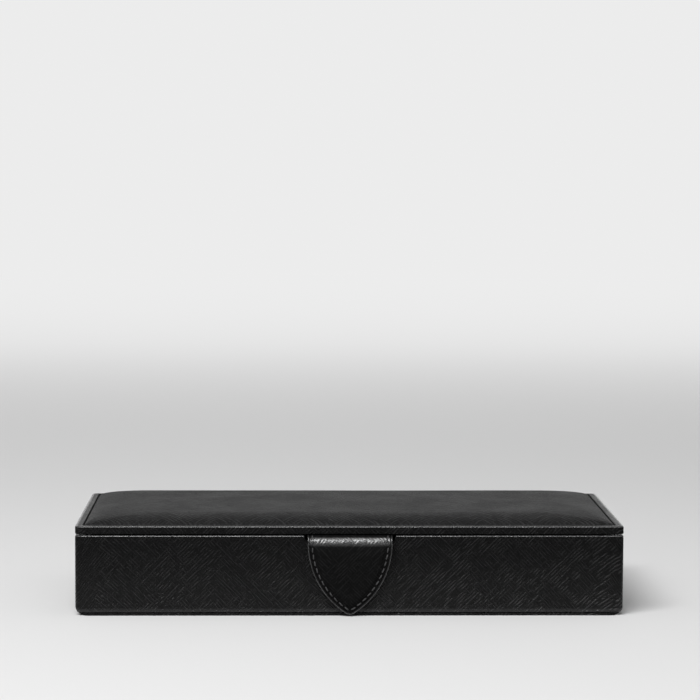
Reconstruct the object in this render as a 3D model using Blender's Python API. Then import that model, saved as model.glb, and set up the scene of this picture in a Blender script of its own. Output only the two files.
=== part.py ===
"""Cufflink box: a long leather-covered case with a divided suede interior, a padded lid on two brass
butt hinges, and a stitched leather tongue that folds down over the front and holds by a magnet.

Metres, +Z up, +X along the box, -Y towards the front. The origin is on the table, under the middle of
the case. Pieces that touch are kept apart by a thin glue line or a named clearance.
"""

import math

import bmesh
import bpy
from mathutils import Vector

# Case, outside
CASE_WIDTH = 0.215
CASE_DEPTH = 0.095
CASE_TOP = 0.0317
CORNER_RADIUS = 0.002
FOOT_RADIUS = 0.0015
MOUTH_RADIUS = 0.0005

# Layers of the case, from the outside in and from the table up
GLUE = 0.0002
COVER = 0.0009
WALL_BOARD = 0.003
LINING = 0.0012
BASE_PANEL = 0.001
BASE_PANEL_INSET = 0.0008
BASE_PANEL_EASE = 0.0003
BASE_GROOVE = 0.0003
BASE_BOARD = 0.0025
TURN_UNDER = 0.012
INNER_EASE = 0.0008
BOARD_EASE = 0.001
FLOOR_PAD = 0.002
LINING_DROP = 0.0004

# Compartments
COLUMNS = 6
DIVIDER = 0.0024
DIVIDER_CLEARANCE = 0.0003
DIVIDER_TOP_CLEARANCE = 0.0006

# Lid
LID_GAP = 0.0005
LID_RIM = 0.0031
LID_COVER = 0.00055
LID_EDGE_RADIUS = 0.0005
LID_TURN_UNDER = 0.0059
BORDER = 0.003
BORDER_EASE = 0.00025
PAD_GROOVE = 0.00035
PAD_CROWN = 0.0039
PAD_SHOULDER = 0.014
PAD_COVER = 0.0006
PAD_CORNER = 0.0015
PAD_CORNER_GROWTH = 1.1
PAD_ROUNDNESS = 1.9
LID_LINING_DEPTH = 0.0023
LID_LINING_CLEARANCE = 0.0007
LID_LINING_EASE = 0.0008

# Tongue
TAB_WIDTH = 0.0334
TAB_STRAIGHT = 0.0008
TAB_ARC = 0.033
TAB_TIP = 0.003
TAB_TIP_LEAST = 0.001
TONGUE = 0.0012
TONGUE_LID_GAP = 0.0002
TONGUE_ROOT = 0.018
BEND_RADIUS = 0.0025
TAB_STAND_OFF = 0.0004
TAB_BACKING = 0.0006
TAB_STIFFENER = 0.0006
TAB_STIFFENER_INSET = 0.0034
TAB_STIFFENER_DROP = 0.0055
TAB_FACE = 0.0009
TAB_FACE_EASE = 0.0003
TAB_FIELD_RISE = 0.0008
TAB_FIELD_INSET = 0.0026
TAB_FIELD_SLOPE = 0.001
TAB_FIELD_DROP = 0.003
NOTCH_CLEARANCE = 0.0009
NOTCH_FLARE = 0.0008
NOTCH_FLOOR_CLEARANCE = 0.0007
MAGNET_RADIUS = 0.005
MAGNET_DROP = 0.011
STRIKER_RADIUS = 0.006
STRIKER = 0.0008
DISC_CLEARANCE = 0.0002

# Hinges and screws
HINGE_INSET = 0.0425
HINGE_LENGTH = 0.024
LEAF = 0.0009
LEAF_REACH = 0.004
LEAF_CLEARANCE = 0.0003
BARREL_RADIUS = 0.0018
BARREL_STAND_OFF = 0.0002
BORE_RADIUS = 0.00085
PIN_RADIUS = 0.00075
PIN_END = 0.0004
KNUCKLE_GAP = 0.0003
OUTER_KNUCKLE = 0.0076
SCREW_SPACING = 0.014
SCREW_HEAD_RADIUS = 0.0013
SCREW_HEAD_DEPTH = 0.0007
SCREW_SINK = 0.00005
SCREW_RADIUS = 0.00055
SCREW_CLEARANCE = 0.00012
CASE_SCREW = 0.006
LID_SCREW_COVER = 0.0003

# Mesh fineness and the overrun of every cut
OVERRUN = 0.001
CORNER_STEPS = 5
ARC_STEPS = 9
TIP_STEPS = 4
ROUND_SIDES = 16
DISC_SIDES = 24
PAD_STEP_SHARES = (0.0, 0.04, 0.13, 0.27, 0.45, 0.7, 1.0)

# Insets of the layers from the outside of the case
BOARD_OUTER = COVER + GLUE
BOARD_INNER = BOARD_OUTER + WALL_BOARD
LINING_OUTER = BOARD_INNER + GLUE
LINING_INNER = LINING_OUTER + LINING
HALF_X = CASE_WIDTH / 2
HALF_Y = CASE_DEPTH / 2

# Heights of the case
COVER_FOOT = BASE_PANEL + BASE_GROOVE
BOARD_FOOT = COVER_FOOT + COVER + GLUE
BOARD_TOP = CASE_TOP - COVER - GLUE
BASE_TOP = BOARD_FOOT + BASE_BOARD
FLOOR_FOOT = BASE_TOP + GLUE
FLOOR_TOP = FLOOR_FOOT + FLOOR_PAD

# Heights of the lid
LID_FOOT = CASE_TOP + LID_GAP
LID_TOP = LID_FOOT + LID_RIM
LID_BOARD_FOOT = LID_FOOT + LID_COVER + GLUE
LID_BOARD_TOP = LID_TOP - LID_COVER - GLUE
PAD_FOOT = LID_BOARD_TOP + GLUE
PAD_INSET = BORDER + PAD_GROOVE
LID_LINING_FOOT = LID_FOOT - LID_LINING_DEPTH
LID_LINING_INSET = LINING_INNER + LID_LINING_CLEARANCE
DIVIDER_TOP = LID_LINING_FOOT - DIVIDER_TOP_CLEARANCE

# Tongue: the middle of its bend is the line that the tab swings on
TONGUE_TOP = LID_FOOT - TONGUE_LID_GAP
TONGUE_UNDER = TONGUE_TOP - TONGUE
TAB_BACK = HALF_Y + TAB_STAND_OFF
TAB_SEAM = TAB_BACK + TAB_BACKING + GLUE
TAB_FRONT = TAB_SEAM + TAB_FACE
TAB_AXIS_Y = BEND_RADIUS - TAB_FRONT
TAB_AXIS_Z = TONGUE_TOP - BEND_RADIUS
TAB_HALF = TAB_WIDTH / 2
MAGNET_Z = TAB_AXIS_Z - MAGNET_DROP

# Notch in the front wall that the tongue passes through
NOTCH_FLOOR = TONGUE_UNDER - NOTCH_FLOOR_CLEARANCE
NOTCH_CUT = NOTCH_FLOOR - COVER - GLUE
NOTCH_HALF = TAB_HALF + NOTCH_CLEARANCE

# Hinge line
HINGE_Y = HALF_Y + BARREL_STAND_OFF + BARREL_RADIUS
HINGE_Z = CASE_TOP + LID_GAP / 2
SCREW_INSET = BOARD_OUTER + WALL_BOARD / 2


def clear_scene():
    for old in list(bpy.data.objects):
        bpy.data.objects.remove(old)


def material(name, colour, roughness, metallic=0.0):
    made = bpy.data.materials.new(name)
    made.use_nodes = True
    shader = made.node_tree.nodes["Principled BSDF"]
    shader.inputs["Base Color"].default_value = (*colour, 1.0)
    shader.inputs["Roughness"].default_value = roughness
    shader.inputs["Metallic"].default_value = metallic
    return made


def empty(name, location, parent=None):
    made = bpy.data.objects.new(name, None)
    bpy.context.scene.collection.objects.link(made)
    made.location = location
    made.parent = parent
    if parent:
        made.location = location - world_place(parent)
    return made


def world_place(obj):
    """Where an unturned object stands, its parents counted in."""
    place = Vector(obj.location)
    while obj.parent:
        obj = obj.parent
        place += obj.location
    return place


def add(name, mesh, finish, parent, origin=None):
    """Makes an object of a mesh drawn in world places, with its origin at origin or on its parent's."""
    origin = world_place(parent) if origin is None else origin
    bmesh.ops.recalc_face_normals(mesh, faces=mesh.faces)
    bmesh.ops.translate(mesh, vec=-origin, verts=mesh.verts)
    data = bpy.data.meshes.new(name)
    mesh.to_mesh(data)
    mesh.free()
    data.materials.append(finish)
    made = bpy.data.objects.new(name, data)
    bpy.context.scene.collection.objects.link(made)
    made.parent = parent
    made.location = origin - world_place(parent)
    return made


def smooth(obj, degrees=35):
    obj.data.shade_smooth()
    obj.data.set_sharp_from_angle(angle=math.radians(degrees))
    return obj


def helper(name, mesh, finish, parent):
    """A shape that only cuts or joins others."""
    made = add(name, mesh, finish, parent)
    made.hide_render = True
    made.display_type = "WIRE"
    return made


def combine(target, operation, *others):
    for other in others:
        step = target.modifiers.new(other.name, "BOOLEAN")
        step.operation = operation
        step.solver = "EXACT"
        step.object = other
    return target


def block(low, high):
    """A box between two corners."""
    mesh = bmesh.new()
    bmesh.ops.create_cube(mesh, size=1)
    low, high = Vector(low), Vector(high)
    bmesh.ops.scale(mesh, vec=high - low, verts=mesh.verts)
    bmesh.ops.translate(mesh, vec=(low + high) / 2, verts=mesh.verts)
    return mesh


def eased_block(low, high, ease, chosen, steps=2):
    """A box with those edges rounded whose middle satisfies chosen(point)."""
    mesh = block(low, high)
    edges = [edge for edge in mesh.edges if chosen((edge.verts[0].co + edge.verts[1].co) / 2)]
    bmesh.ops.bevel(mesh, geom=edges, offset=ease, segments=steps, profile=0.5, affect="EDGES")
    return mesh


def loft(loops, closed=False):
    """A skin through loops of equally many points, its two ends filled unless it closes on itself."""
    mesh = bmesh.new()
    rings = [[mesh.verts.new(point) for point in loop] for loop in loops]
    pairs = list(zip(rings, rings[1:] + rings[:1]))
    for first, second in pairs if closed else pairs[:-1]:
        for i in range(len(first)):
            j = (i + 1) % len(first)
            mesh.faces.new((first[i], first[j], second[j], second[i]))
    if not closed:
        mesh.faces.new(rings[0])
        mesh.faces.new(rings[-1])
    return mesh


def rounded_loop(inset, radius, height, least=INNER_EASE):
    """The case's outline drawn in by inset, with rounded corners, at one height."""
    half_x, half_y, radius = HALF_X - inset, HALF_Y - inset, max(radius, least)
    points = []
    for quarter, (side_x, side_y) in enumerate(((1, 1), (-1, 1), (-1, -1), (1, -1))):
        for step in range(CORNER_STEPS + 1):
            angle = math.radians(90) * (quarter + step / CORNER_STEPS)
            x = side_x * (half_x - radius) + radius * math.cos(angle)
            y = side_y * (half_y - radius) + radius * math.sin(angle)
            points.append((x, y, height))
    return points


def inset_loop(inset, height):
    """The case's outline drawn in by inset, its corners tightening as real offsets do."""
    return rounded_loop(inset, CORNER_RADIUS - inset, height)


def extruded(outline, along):
    """A flat outline given depth along a vector."""
    return loft([outline, [Vector(point) + Vector(along) for point in outline]])


def turned(centre, axis, stations, sides):
    """A turned solid on axis X, Y or Z: stations are pairs of a place along the axis and a radius."""
    across = [way for way in range(3) if way != axis]
    loops = []
    for place, radius in stations:
        loop = []
        for side in range(sides):
            angle = math.tau * (side + 1 / 2) / sides
            point = Vector(centre)
            point[axis] = place
            point[across[0]] += radius * math.cos(angle)
            point[across[1]] += radius * math.sin(angle)
            loop.append(point)
        loops.append(loop)
    return loft(loops)


def quarter_arc(centre, radii, start, steps):
    """Points a quarter of the way round an ellipse, from start in degrees."""
    angles = [math.radians(start + 90 * step / steps) for step in range(steps + 1)]
    return [(centre[0] + radii[0] * math.cos(a), centre[1] + radii[1] * math.sin(a)) for a in angles]


def case_cover(finish, parent):
    """One strip of leather round the four walls, turned in over their tops and under their feet."""
    foot = quarter_arc(
        (FOOT_RADIUS, COVER_FOOT + FOOT_RADIUS), (FOOT_RADIUS, FOOT_RADIUS), 180, CORNER_STEPS
    )
    mouth = quarter_arc(
        (MOUTH_RADIUS, CASE_TOP - MOUTH_RADIUS), (MOUTH_RADIUS, MOUTH_RADIUS), 90, 2
    )
    profile = [
        (TURN_UNDER, COVER_FOOT),
        *reversed(foot),
        *reversed(mouth),
        (BOARD_INNER, CASE_TOP),
        (BOARD_INNER, CASE_TOP - COVER),
        (COVER, CASE_TOP - COVER),
        (COVER, COVER_FOOT + COVER + INNER_EASE),
        (COVER + INNER_EASE, COVER_FOOT + COVER),
        (TURN_UNDER, COVER_FOOT + COVER),
    ]
    mesh = loft([inset_loop(inset, height) for inset, height in profile], closed=True)
    return smooth(add("case_cover", mesh, finish, parent))


def notch_cutter(finish, parent):
    """The flared gap in the front wall that the tongue passes through."""
    outer, inner, top = -HALF_Y - OVERRUN, OVERRUN + LINING_INNER - HALF_Y, CASE_TOP + OVERRUN
    outline = [
        (-NOTCH_HALF, outer, NOTCH_CUT),
        (NOTCH_HALF, outer, NOTCH_CUT),
        (NOTCH_HALF, outer, NOTCH_FLOOR),
        (NOTCH_HALF + NOTCH_FLARE, outer, CASE_TOP),
        (NOTCH_HALF + NOTCH_FLARE, outer, top),
        (-NOTCH_HALF - NOTCH_FLARE, outer, top),
        (-NOTCH_HALF - NOTCH_FLARE, outer, CASE_TOP),
        (-NOTCH_HALF, outer, NOTCH_FLOOR),
    ]
    return helper("notch_cutter", extruded(outline, (0, inner - outer, 0)), finish, parent)


def wall_boards(finish, parent, notch):
    """Front and rear boards run the whole width, and the end boards stand between them."""
    out_x, out_y = HALF_X - BOARD_OUTER, HALF_Y - BOARD_OUTER
    in_y = HALF_Y - BOARD_INNER
    boards = {}
    for name, side in (("front_board", -1), ("rear_board", 1)):
        low = (-out_x, min(side * out_y, side * in_y), BOARD_FOOT)
        high = (out_x, max(side * out_y, side * in_y), BOARD_TOP)
        mesh = eased_block(
            low,
            high,
            BOARD_EASE,
            lambda p, side=side: p.y * side > in_y + GLUE,
        )
        boards[name] = add(name, mesh, finish, parent)
    for name, side in (("left_board", -1), ("right_board", 1)):
        in_x = HALF_X - BOARD_INNER
        low = (min(side * out_x, side * in_x), GLUE - in_y, BOARD_FOOT)
        high = (max(side * out_x, side * in_x), in_y - GLUE, BOARD_TOP)
        middle = (BOARD_FOOT + BOARD_TOP) / 2
        mesh = eased_block(
            low,
            high,
            BOARD_EASE,
            lambda p, side=side: p.x * side > in_x + GLUE and p.z < middle and abs(p.y) < GLUE,
        )
        boards[name] = add(name, mesh, finish, parent)
    combine(boards["front_board"], "DIFFERENCE", notch)
    return boards


def wall_linings(finish, parent, notch):
    """Suede-covered cards that stand on the base board against each wall."""
    out_x, out_y = HALF_X - LINING_OUTER, HALF_Y - LINING_OUTER
    in_x, in_y = HALF_X - LINING_INNER, HALF_Y - LINING_INNER
    top = CASE_TOP - LINING_DROP
    for name, side in (("front_lining", -1), ("rear_lining", 1)):
        low = (-out_x, min(side * out_y, side * in_y), FLOOR_FOOT)
        high = (out_x, max(side * out_y, side * in_y), top)
        made = add(name, block(low, high), finish, parent)
        if side < 0:
            combine(made, "DIFFERENCE", notch)
    for name, side in (("left_lining", -1), ("right_lining", 1)):
        low = (min(side * out_x, side * in_x), GLUE - in_y, FLOOR_FOOT)
        high = (max(side * out_x, side * in_x), in_y - GLUE, top)
        add(name, block(low, high), finish, parent)


def base_pieces(finishes, parent):
    """The covered panel that the box stands on, the card above it, the base board and the padded floor."""
    panel = [
        inset_loop(BASE_PANEL_INSET + BASE_PANEL_EASE, 0),
        inset_loop(BASE_PANEL_INSET, BASE_PANEL_EASE),
        inset_loop(BASE_PANEL_INSET, BASE_PANEL - BASE_PANEL_EASE),
        inset_loop(BASE_PANEL_INSET + BASE_PANEL_EASE, BASE_PANEL),
    ]
    smooth(add("base_panel", loft(panel), finishes["leather"], parent))
    inset = TURN_UNDER + GLUE
    card = [inset_loop(inset, BASE_PANEL + GLUE), inset_loop(inset, BOARD_FOOT - GLUE)]
    add("base_card", loft(card), finishes["board"], parent)
    inset = LINING_OUTER
    base = block(
        (inset - HALF_X, inset - HALF_Y, BOARD_FOOT), (HALF_X - inset, HALF_Y - inset, BASE_TOP)
    )
    add("base_board", base, finishes["board"], parent)
    inset = LINING_INNER + GLUE
    floor = block(
        (inset - HALF_X, inset - HALF_Y, FLOOR_FOOT), (HALF_X - inset, HALF_Y - inset, FLOOR_TOP)
    )
    add("floor_pad", floor, finishes["suede"], parent)


def comb(length, edge, other, places, slot_width, slot_end):
    """Outline of a slotted card, as places along it and heights: slots run in from edge to slot_end."""
    outline = [(-length / 2, other), (-length / 2, edge)]
    for centre in places:
        outline += [
            (centre - slot_width / 2, edge),
            (centre - slot_width / 2, slot_end),
            (centre + slot_width / 2, slot_end),
            (centre + slot_width / 2, edge),
        ]
    return outline + [(length / 2, edge), (length / 2, other)]


def dividers(finish, parent):
    """One long divider and the cross dividers, joined by slots cut half way through each."""
    clear_x = CASE_WIDTH - 2 * LINING_INNER
    clear_y = CASE_DEPTH - 2 * LINING_INNER
    foot, top = FLOOR_TOP + GLUE, DIVIDER_TOP
    middle = (foot + top) / 2
    slot = DIVIDER + 2 * DIVIDER_CLEARANCE
    pitch = (clear_x + DIVIDER) / COLUMNS
    places = [i * pitch - (clear_x + DIVIDER) / 2 for i in range(1, COLUMNS)]
    length = clear_x - 2 * DIVIDER_CLEARANCE
    outline = comb(length, top, foot, places, slot, middle - DIVIDER_CLEARANCE)
    flat = [(x, -DIVIDER / 2, z) for x, z in outline]
    add("long_divider", extruded(flat, (0, DIVIDER, 0)), finish, parent)
    length = clear_y - 2 * DIVIDER_CLEARANCE
    outline = comb(length, foot, top, [0], slot, middle + DIVIDER_CLEARANCE)
    for number, x in enumerate(places, start=1):
        flat = [(x - DIVIDER / 2, y, z) for y, z in outline]
        mesh = extruded(flat, (DIVIDER, 0, 0))
        add(f"cross_divider_{number}", mesh, finish, parent, origin=Vector((x, 0, 0)))


def notch_facing(finish, parent):
    """The strip of leather on the floor of the notch, under the tongue."""
    half = NOTCH_HALF - GLUE
    mesh = block(
        (-half, -HALF_Y, NOTCH_CUT + GLUE), (half, LINING_INNER - HALF_Y, NOTCH_FLOOR)
    )
    return add("notch_facing", mesh, finish, parent)


def striker(finishes, parent, front_board):
    """The steel disc let into the front board that the tongue's magnet holds to."""
    face = BOARD_OUTER - HALF_Y
    centre = (0, 0, MAGNET_Z)
    pocket = turned(
        centre,
        1,
        [
            (face - OVERRUN, STRIKER_RADIUS + DISC_CLEARANCE),
            (face + STRIKER + DISC_CLEARANCE, STRIKER_RADIUS + DISC_CLEARANCE),
        ],
        DISC_SIDES,
    )
    combine(front_board, "DIFFERENCE", helper("striker_pocket", pocket, finishes["steel"], parent))
    disc = turned(centre, 1, [(face, STRIKER_RADIUS), (face + STRIKER, STRIKER_RADIUS)], DISC_SIDES)
    smooth(add("striker_disc", disc, finishes["steel"], parent))


def lid_cover(finish, parent):
    """Leather wrapped round the edge of the lid board, with a border on top and a turn-in underneath."""
    edge, border = LID_EDGE_RADIUS, BORDER_EASE
    outer_top = quarter_arc((edge, LID_TOP - edge), (edge, edge), 90, 3)
    profile = [
        (LID_TURN_UNDER, LID_FOOT),
        (border, LID_FOOT),
        (0, LID_FOOT + border),
        *reversed(outer_top),
        (BORDER - border, LID_TOP),
        (BORDER, LID_TOP - border),
        (BORDER, LID_TOP - LID_COVER),
        (LID_COVER, LID_TOP - LID_COVER),
        (LID_COVER, LID_FOOT + LID_COVER),
        (LID_TURN_UNDER, LID_FOOT + LID_COVER),
    ]
    mesh = loft([inset_loop(inset, height) for inset, height in profile], closed=True)
    return smooth(add("lid_cover", mesh, finish, parent))


def pad_loops(inset, foot, crown, shares):
    """Loops of a pad that rises steeply from its edge and runs level, rounder towards the middle."""
    loops = []
    for share in shares:
        rise = (1 - (1 - share) ** PAD_ROUNDNESS) ** (1 / PAD_ROUNDNESS)
        run = share * PAD_SHOULDER
        radius = PAD_CORNER + PAD_CORNER_GROWTH * run
        loops.append(rounded_loop(inset + run, radius, foot + crown * rise))
    return loops


def lid_pad(finishes, parent):
    """The crowned leather panel on top of the lid and the foam inside it."""
    outer = pad_loops(PAD_INSET, PAD_FOOT, PAD_CROWN, PAD_STEP_SHARES)
    inner = pad_loops(PAD_INSET + PAD_COVER, PAD_FOOT, PAD_CROWN - PAD_COVER, PAD_STEP_SHARES)
    smooth(add("pad_cover", loft(inner[::-1] + outer), finishes["leather"], parent), degrees=50)
    inset = PAD_INSET + PAD_COVER + GLUE
    foam = pad_loops(inset, PAD_FOOT, PAD_CROWN - PAD_COVER - GLUE, PAD_STEP_SHARES)
    smooth(add("pad_foam", loft(foam), finishes["foam"], parent), degrees=50)


def lid_board(finish, parent):
    inset = LID_COVER + GLUE
    mesh = loft([inset_loop(inset, LID_BOARD_FOOT), inset_loop(inset, LID_BOARD_TOP)])
    return add("lid_board", mesh, finish, parent)


def lid_lining(finish, parent):
    """The suede panel under the lid that drops inside the walls, hollowed where the tongue is rooted."""
    ease, inset = LID_LINING_EASE, LID_LINING_INSET
    mesh = loft(
        [
            inset_loop(inset + ease, LID_LINING_FOOT),
            inset_loop(inset, LID_LINING_FOOT + ease),
            inset_loop(inset, LID_FOOT + LID_COVER),
        ]
    )
    made = add("lid_lining", mesh, finish, parent)
    half = TAB_HALF + LEAF_CLEARANCE
    pocket = block(
        (-half, -HALF_Y, TONGUE_UNDER - GLUE),
        (half, TONGUE_ROOT + GLUE - HALF_Y, LID_TOP),
    )
    return combine(made, "DIFFERENCE", helper("root_pocket", pocket, finish, parent))


def tongue_root(finish, parent):
    """The part of the tongue that is glued under the lid, stepped up where the lid's leather ends."""
    step = LID_TURN_UNDER + GLUE - HALF_Y
    outline = [
        (TAB_AXIS_Y, TONGUE_UNDER),
        (TAB_AXIS_Y, TONGUE_TOP),
        (step, TONGUE_TOP),
        (step, LID_BOARD_FOOT - GLUE),
        (TONGUE_ROOT - HALF_Y, LID_BOARD_FOOT - GLUE),
        (TONGUE_ROOT - HALF_Y, TONGUE_UNDER),
    ]
    flat = [(-TAB_HALF, y, z) for y, z in outline]
    return add("tongue_root", extruded(flat, (TAB_WIDTH, 0, 0)), finish, parent)


def tongue_bend(finish, parent):
    """The quarter turn of leather that flexes when the tab is lifted."""
    centre = (TAB_AXIS_Y, TAB_AXIS_Z)
    deep, high = TAB_FRONT - TAB_BACK, TONGUE
    outer = quarter_arc(centre, (BEND_RADIUS, BEND_RADIUS), 90, ARC_STEPS)
    inner = quarter_arc(centre, (BEND_RADIUS - deep, BEND_RADIUS - high), 90, ARC_STEPS)
    ends_off = slice(1, -1)
    outline = outer[ends_off] + inner[ends_off][::-1]
    flat = [(-TAB_HALF, y, z) for y, z in outline]
    return smooth(add("tongue_bend", extruded(flat, (TAB_WIDTH, 0, 0)), finish, parent))


def tab_outline(inset, drop, y):
    """The tab's shield shape from drop down: two arcs for sides, and a tip rounded between them."""
    half, arc = TAB_HALF - inset, TAB_ARC - inset
    tip = max(TAB_TIP - inset, TAB_TIP_LEAST)
    centre, level = half - arc, TAB_AXIS_Z - TAB_STRAIGHT
    fall = math.sqrt((arc - tip) ** 2 - centre**2)
    begin = math.asin(max(drop - TAB_STRAIGHT, 0) / arc)
    end = math.atan2(fall, -centre)
    angles = [begin + (end - begin) * step / ARC_STEPS for step in range(ARC_STEPS + 1)]
    side = [(centre + arc * math.cos(a), level - arc * math.sin(a)) for a in angles]
    side[0] = (side[0][0], TAB_AXIS_Z - drop)
    turns = [end + (math.pi - 2 * end) * step / TIP_STEPS for step in range(1, TIP_STEPS)]
    round_tip = [(tip * math.cos(a), level - fall - tip * math.sin(a)) for a in turns]
    outline = side + round_tip + [(-x, z) for x, z in reversed(side)]
    return [(x, y, z) for x, z in outline]


def tab_pieces(finishes, parent):
    """The swinging tab: backing leather, a stiffener with a disc magnet, and the raised face leather."""
    top = GLUE
    backing = loft([tab_outline(0, top, -TAB_BACK), tab_outline(0, top, -TAB_BACK - TAB_BACKING)])
    add("tab_backing", backing, finishes["leather"], parent)

    ease, slope = TAB_FACE_EASE, TAB_FIELD_SLOPE
    face = loft(
        [
            tab_outline(0, top, -TAB_SEAM),
            tab_outline(0, top, ease - TAB_FRONT),
            tab_outline(ease, top, -TAB_FRONT),
            tab_outline(TAB_FIELD_INSET, TAB_FIELD_DROP, -TAB_FRONT),
            tab_outline(
                TAB_FIELD_INSET + slope, TAB_FIELD_DROP + slope, -TAB_FRONT - TAB_FIELD_RISE
            ),
        ]
    )
    face = smooth(add("tab_face", face, finishes["tab_leather"], parent), degrees=50)

    inset, drop = TAB_STIFFENER_INSET, TAB_STIFFENER_DROP
    hollow_end = -TAB_SEAM - TAB_STIFFENER - GLUE
    hollow = loft(
        [
            tab_outline(inset - GLUE, drop - GLUE, OVERRUN - TAB_SEAM),
            tab_outline(inset - GLUE, drop - GLUE, hollow_end),
        ]
    )
    combine(face, "DIFFERENCE", helper("stiffener_hollow", hollow, finishes["leather"], parent))
    plate = loft(
        [tab_outline(inset, drop, -TAB_SEAM), tab_outline(inset, drop, -TAB_SEAM - TAB_STIFFENER)]
    )
    plate = add("tab_stiffener", plate, finishes["board"], parent)
    centre = (0, 0, MAGNET_Z)
    wide = MAGNET_RADIUS + DISC_CLEARANCE
    hole = turned(
        centre,
        1,
        [(-TAB_SEAM - TAB_STIFFENER - OVERRUN, wide), (OVERRUN - TAB_SEAM, wide)],
        DISC_SIDES,
    )
    combine(plate, "DIFFERENCE", helper("magnet_hole", hole, finishes["steel"], parent))
    magnet = turned(
        centre,
        1,
        [(-TAB_SEAM - TAB_STIFFENER, MAGNET_RADIUS), (-TAB_SEAM, MAGNET_RADIUS)],
        DISC_SIDES,
    )
    smooth(add("tab_magnet", magnet, finishes["steel"], parent))


def screw_mesh(x, y, face, way, length, extra=0.0):
    """A countersunk screw with its head at height face, driven up (way 1) or down (way -1)."""
    head = face + way * SCREW_SINK - way * extra
    neck = face + way * (SCREW_SINK + SCREW_HEAD_DEPTH)
    return turned(
        (x, y, 0),
        2,
        [
            (head, SCREW_HEAD_RADIUS + extra),
            (neck, SCREW_RADIUS + extra),
            (face + way * (length + extra), SCREW_RADIUS + extra),
        ],
        ROUND_SIDES,
    )


def leaf(name, x, low, high, spans, finishes, parent):
    """A hinge leaf: a plate on the wall, and for each span of its length a finger and a knuckle."""
    plate = block(
        (x - HINGE_LENGTH / 2, HALF_Y - LEAF_REACH, low),
        (x + HINGE_LENGTH / 2, HALF_Y + GLUE / 2, high),
    )
    made = add(name, plate, finishes["brass"], parent, origin=Vector((x, HINGE_Y, HINGE_Z)))
    for number, (start, end) in enumerate(spans, start=1):
        finger = block((x + start, HALF_Y - GLUE, low), (x + end, HINGE_Y, high))
        barrel = turned(
            (0, HINGE_Y, HINGE_Z),
            0,
            [(x + start, BARREL_RADIUS), (x + end, BARREL_RADIUS)],
            ROUND_SIDES,
        )
        finger = helper(f"{name}_finger_{number}", finger, finishes["brass"], parent)
        barrel = helper(f"{name}_barrel_{number}", barrel, finishes["brass"], parent)
        combine(made, "UNION", finger, barrel)
    reach = HINGE_LENGTH / 2 + OVERRUN
    bore = turned(
        (0, HINGE_Y, HINGE_Z), 0, [(x - reach, BORE_RADIUS), (x + reach, BORE_RADIUS)], ROUND_SIDES
    )
    combine(made, "DIFFERENCE", helper(f"{name}_bore", bore, finishes["brass"], parent))
    return made


def hinge(side, x, finishes, case, lid, drilled):
    """One butt hinge: two knuckles on the case's leaf, one on the lid's, a pin and four screws."""
    half = HINGE_LENGTH / 2
    outer = [(-half, OUTER_KNUCKLE - half), (half - OUTER_KNUCKLE, half)]
    inner_end = half - OUTER_KNUCKLE - KNUCKLE_GAP
    lower = leaf(
        f"case_leaf_{side}", x, CASE_TOP - LEAF, CASE_TOP, outer, finishes, case
    )
    upper = leaf(
        f"lid_leaf_{side}", x, LID_FOOT, LID_FOOT + LEAF, [(-inner_end, inner_end)], finishes, lid
    )
    pin = turned(
        (0, HINGE_Y, HINGE_Z),
        0,
        [(x - half - PIN_END, PIN_RADIUS), (x + half + PIN_END, PIN_RADIUS)],
        ROUND_SIDES,
    )
    pin = add(f"hinge_pin_{side}", pin, finishes["brass"], case, Vector((x, HINGE_Y, HINGE_Z)))
    smooth(pin)
    y = HALF_Y - SCREW_INSET
    lid_screw = LID_BOARD_TOP - LID_FOOT - LID_SCREW_COVER
    for end, screw_x in (("a", x - SCREW_SPACING / 2), ("b", x + SCREW_SPACING / 2)):
        for body, parent, face, way, length in (
            ("case", case, CASE_TOP, -1, CASE_SCREW),
            ("lid", lid, LID_FOOT, 1, lid_screw),
        ):
            name = f"{body}_screw_{side}_{end}"
            mesh = screw_mesh(screw_x, y, face, way, length)
            place = Vector((screw_x, y, face))
            smooth(add(name, mesh, finishes["brass"], parent, origin=place))
            mesh = screw_mesh(screw_x, y, face, way, length, SCREW_CLEARANCE)
            hole = helper(f"{name}_hole", mesh, finishes["brass"], parent)
            combine(lower if body == "case" else upper, "DIFFERENCE", hole)
            combine(drilled[body], "DIFFERENCE", hole)


def leaf_pocket(name, x, low, high, finish, parent, *targets):
    """Makes room for a leaf in the pieces that it is let into."""
    half = HINGE_LENGTH / 2 + LEAF_CLEARANCE
    mesh = block(
        (x - half, HALF_Y - LEAF_REACH - LEAF_CLEARANCE, low), (x + half, HALF_Y + OVERRUN, high)
    )
    pocket = helper(name, mesh, finish, parent)
    for target in targets:
        combine(target, "DIFFERENCE", pocket)


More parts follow.
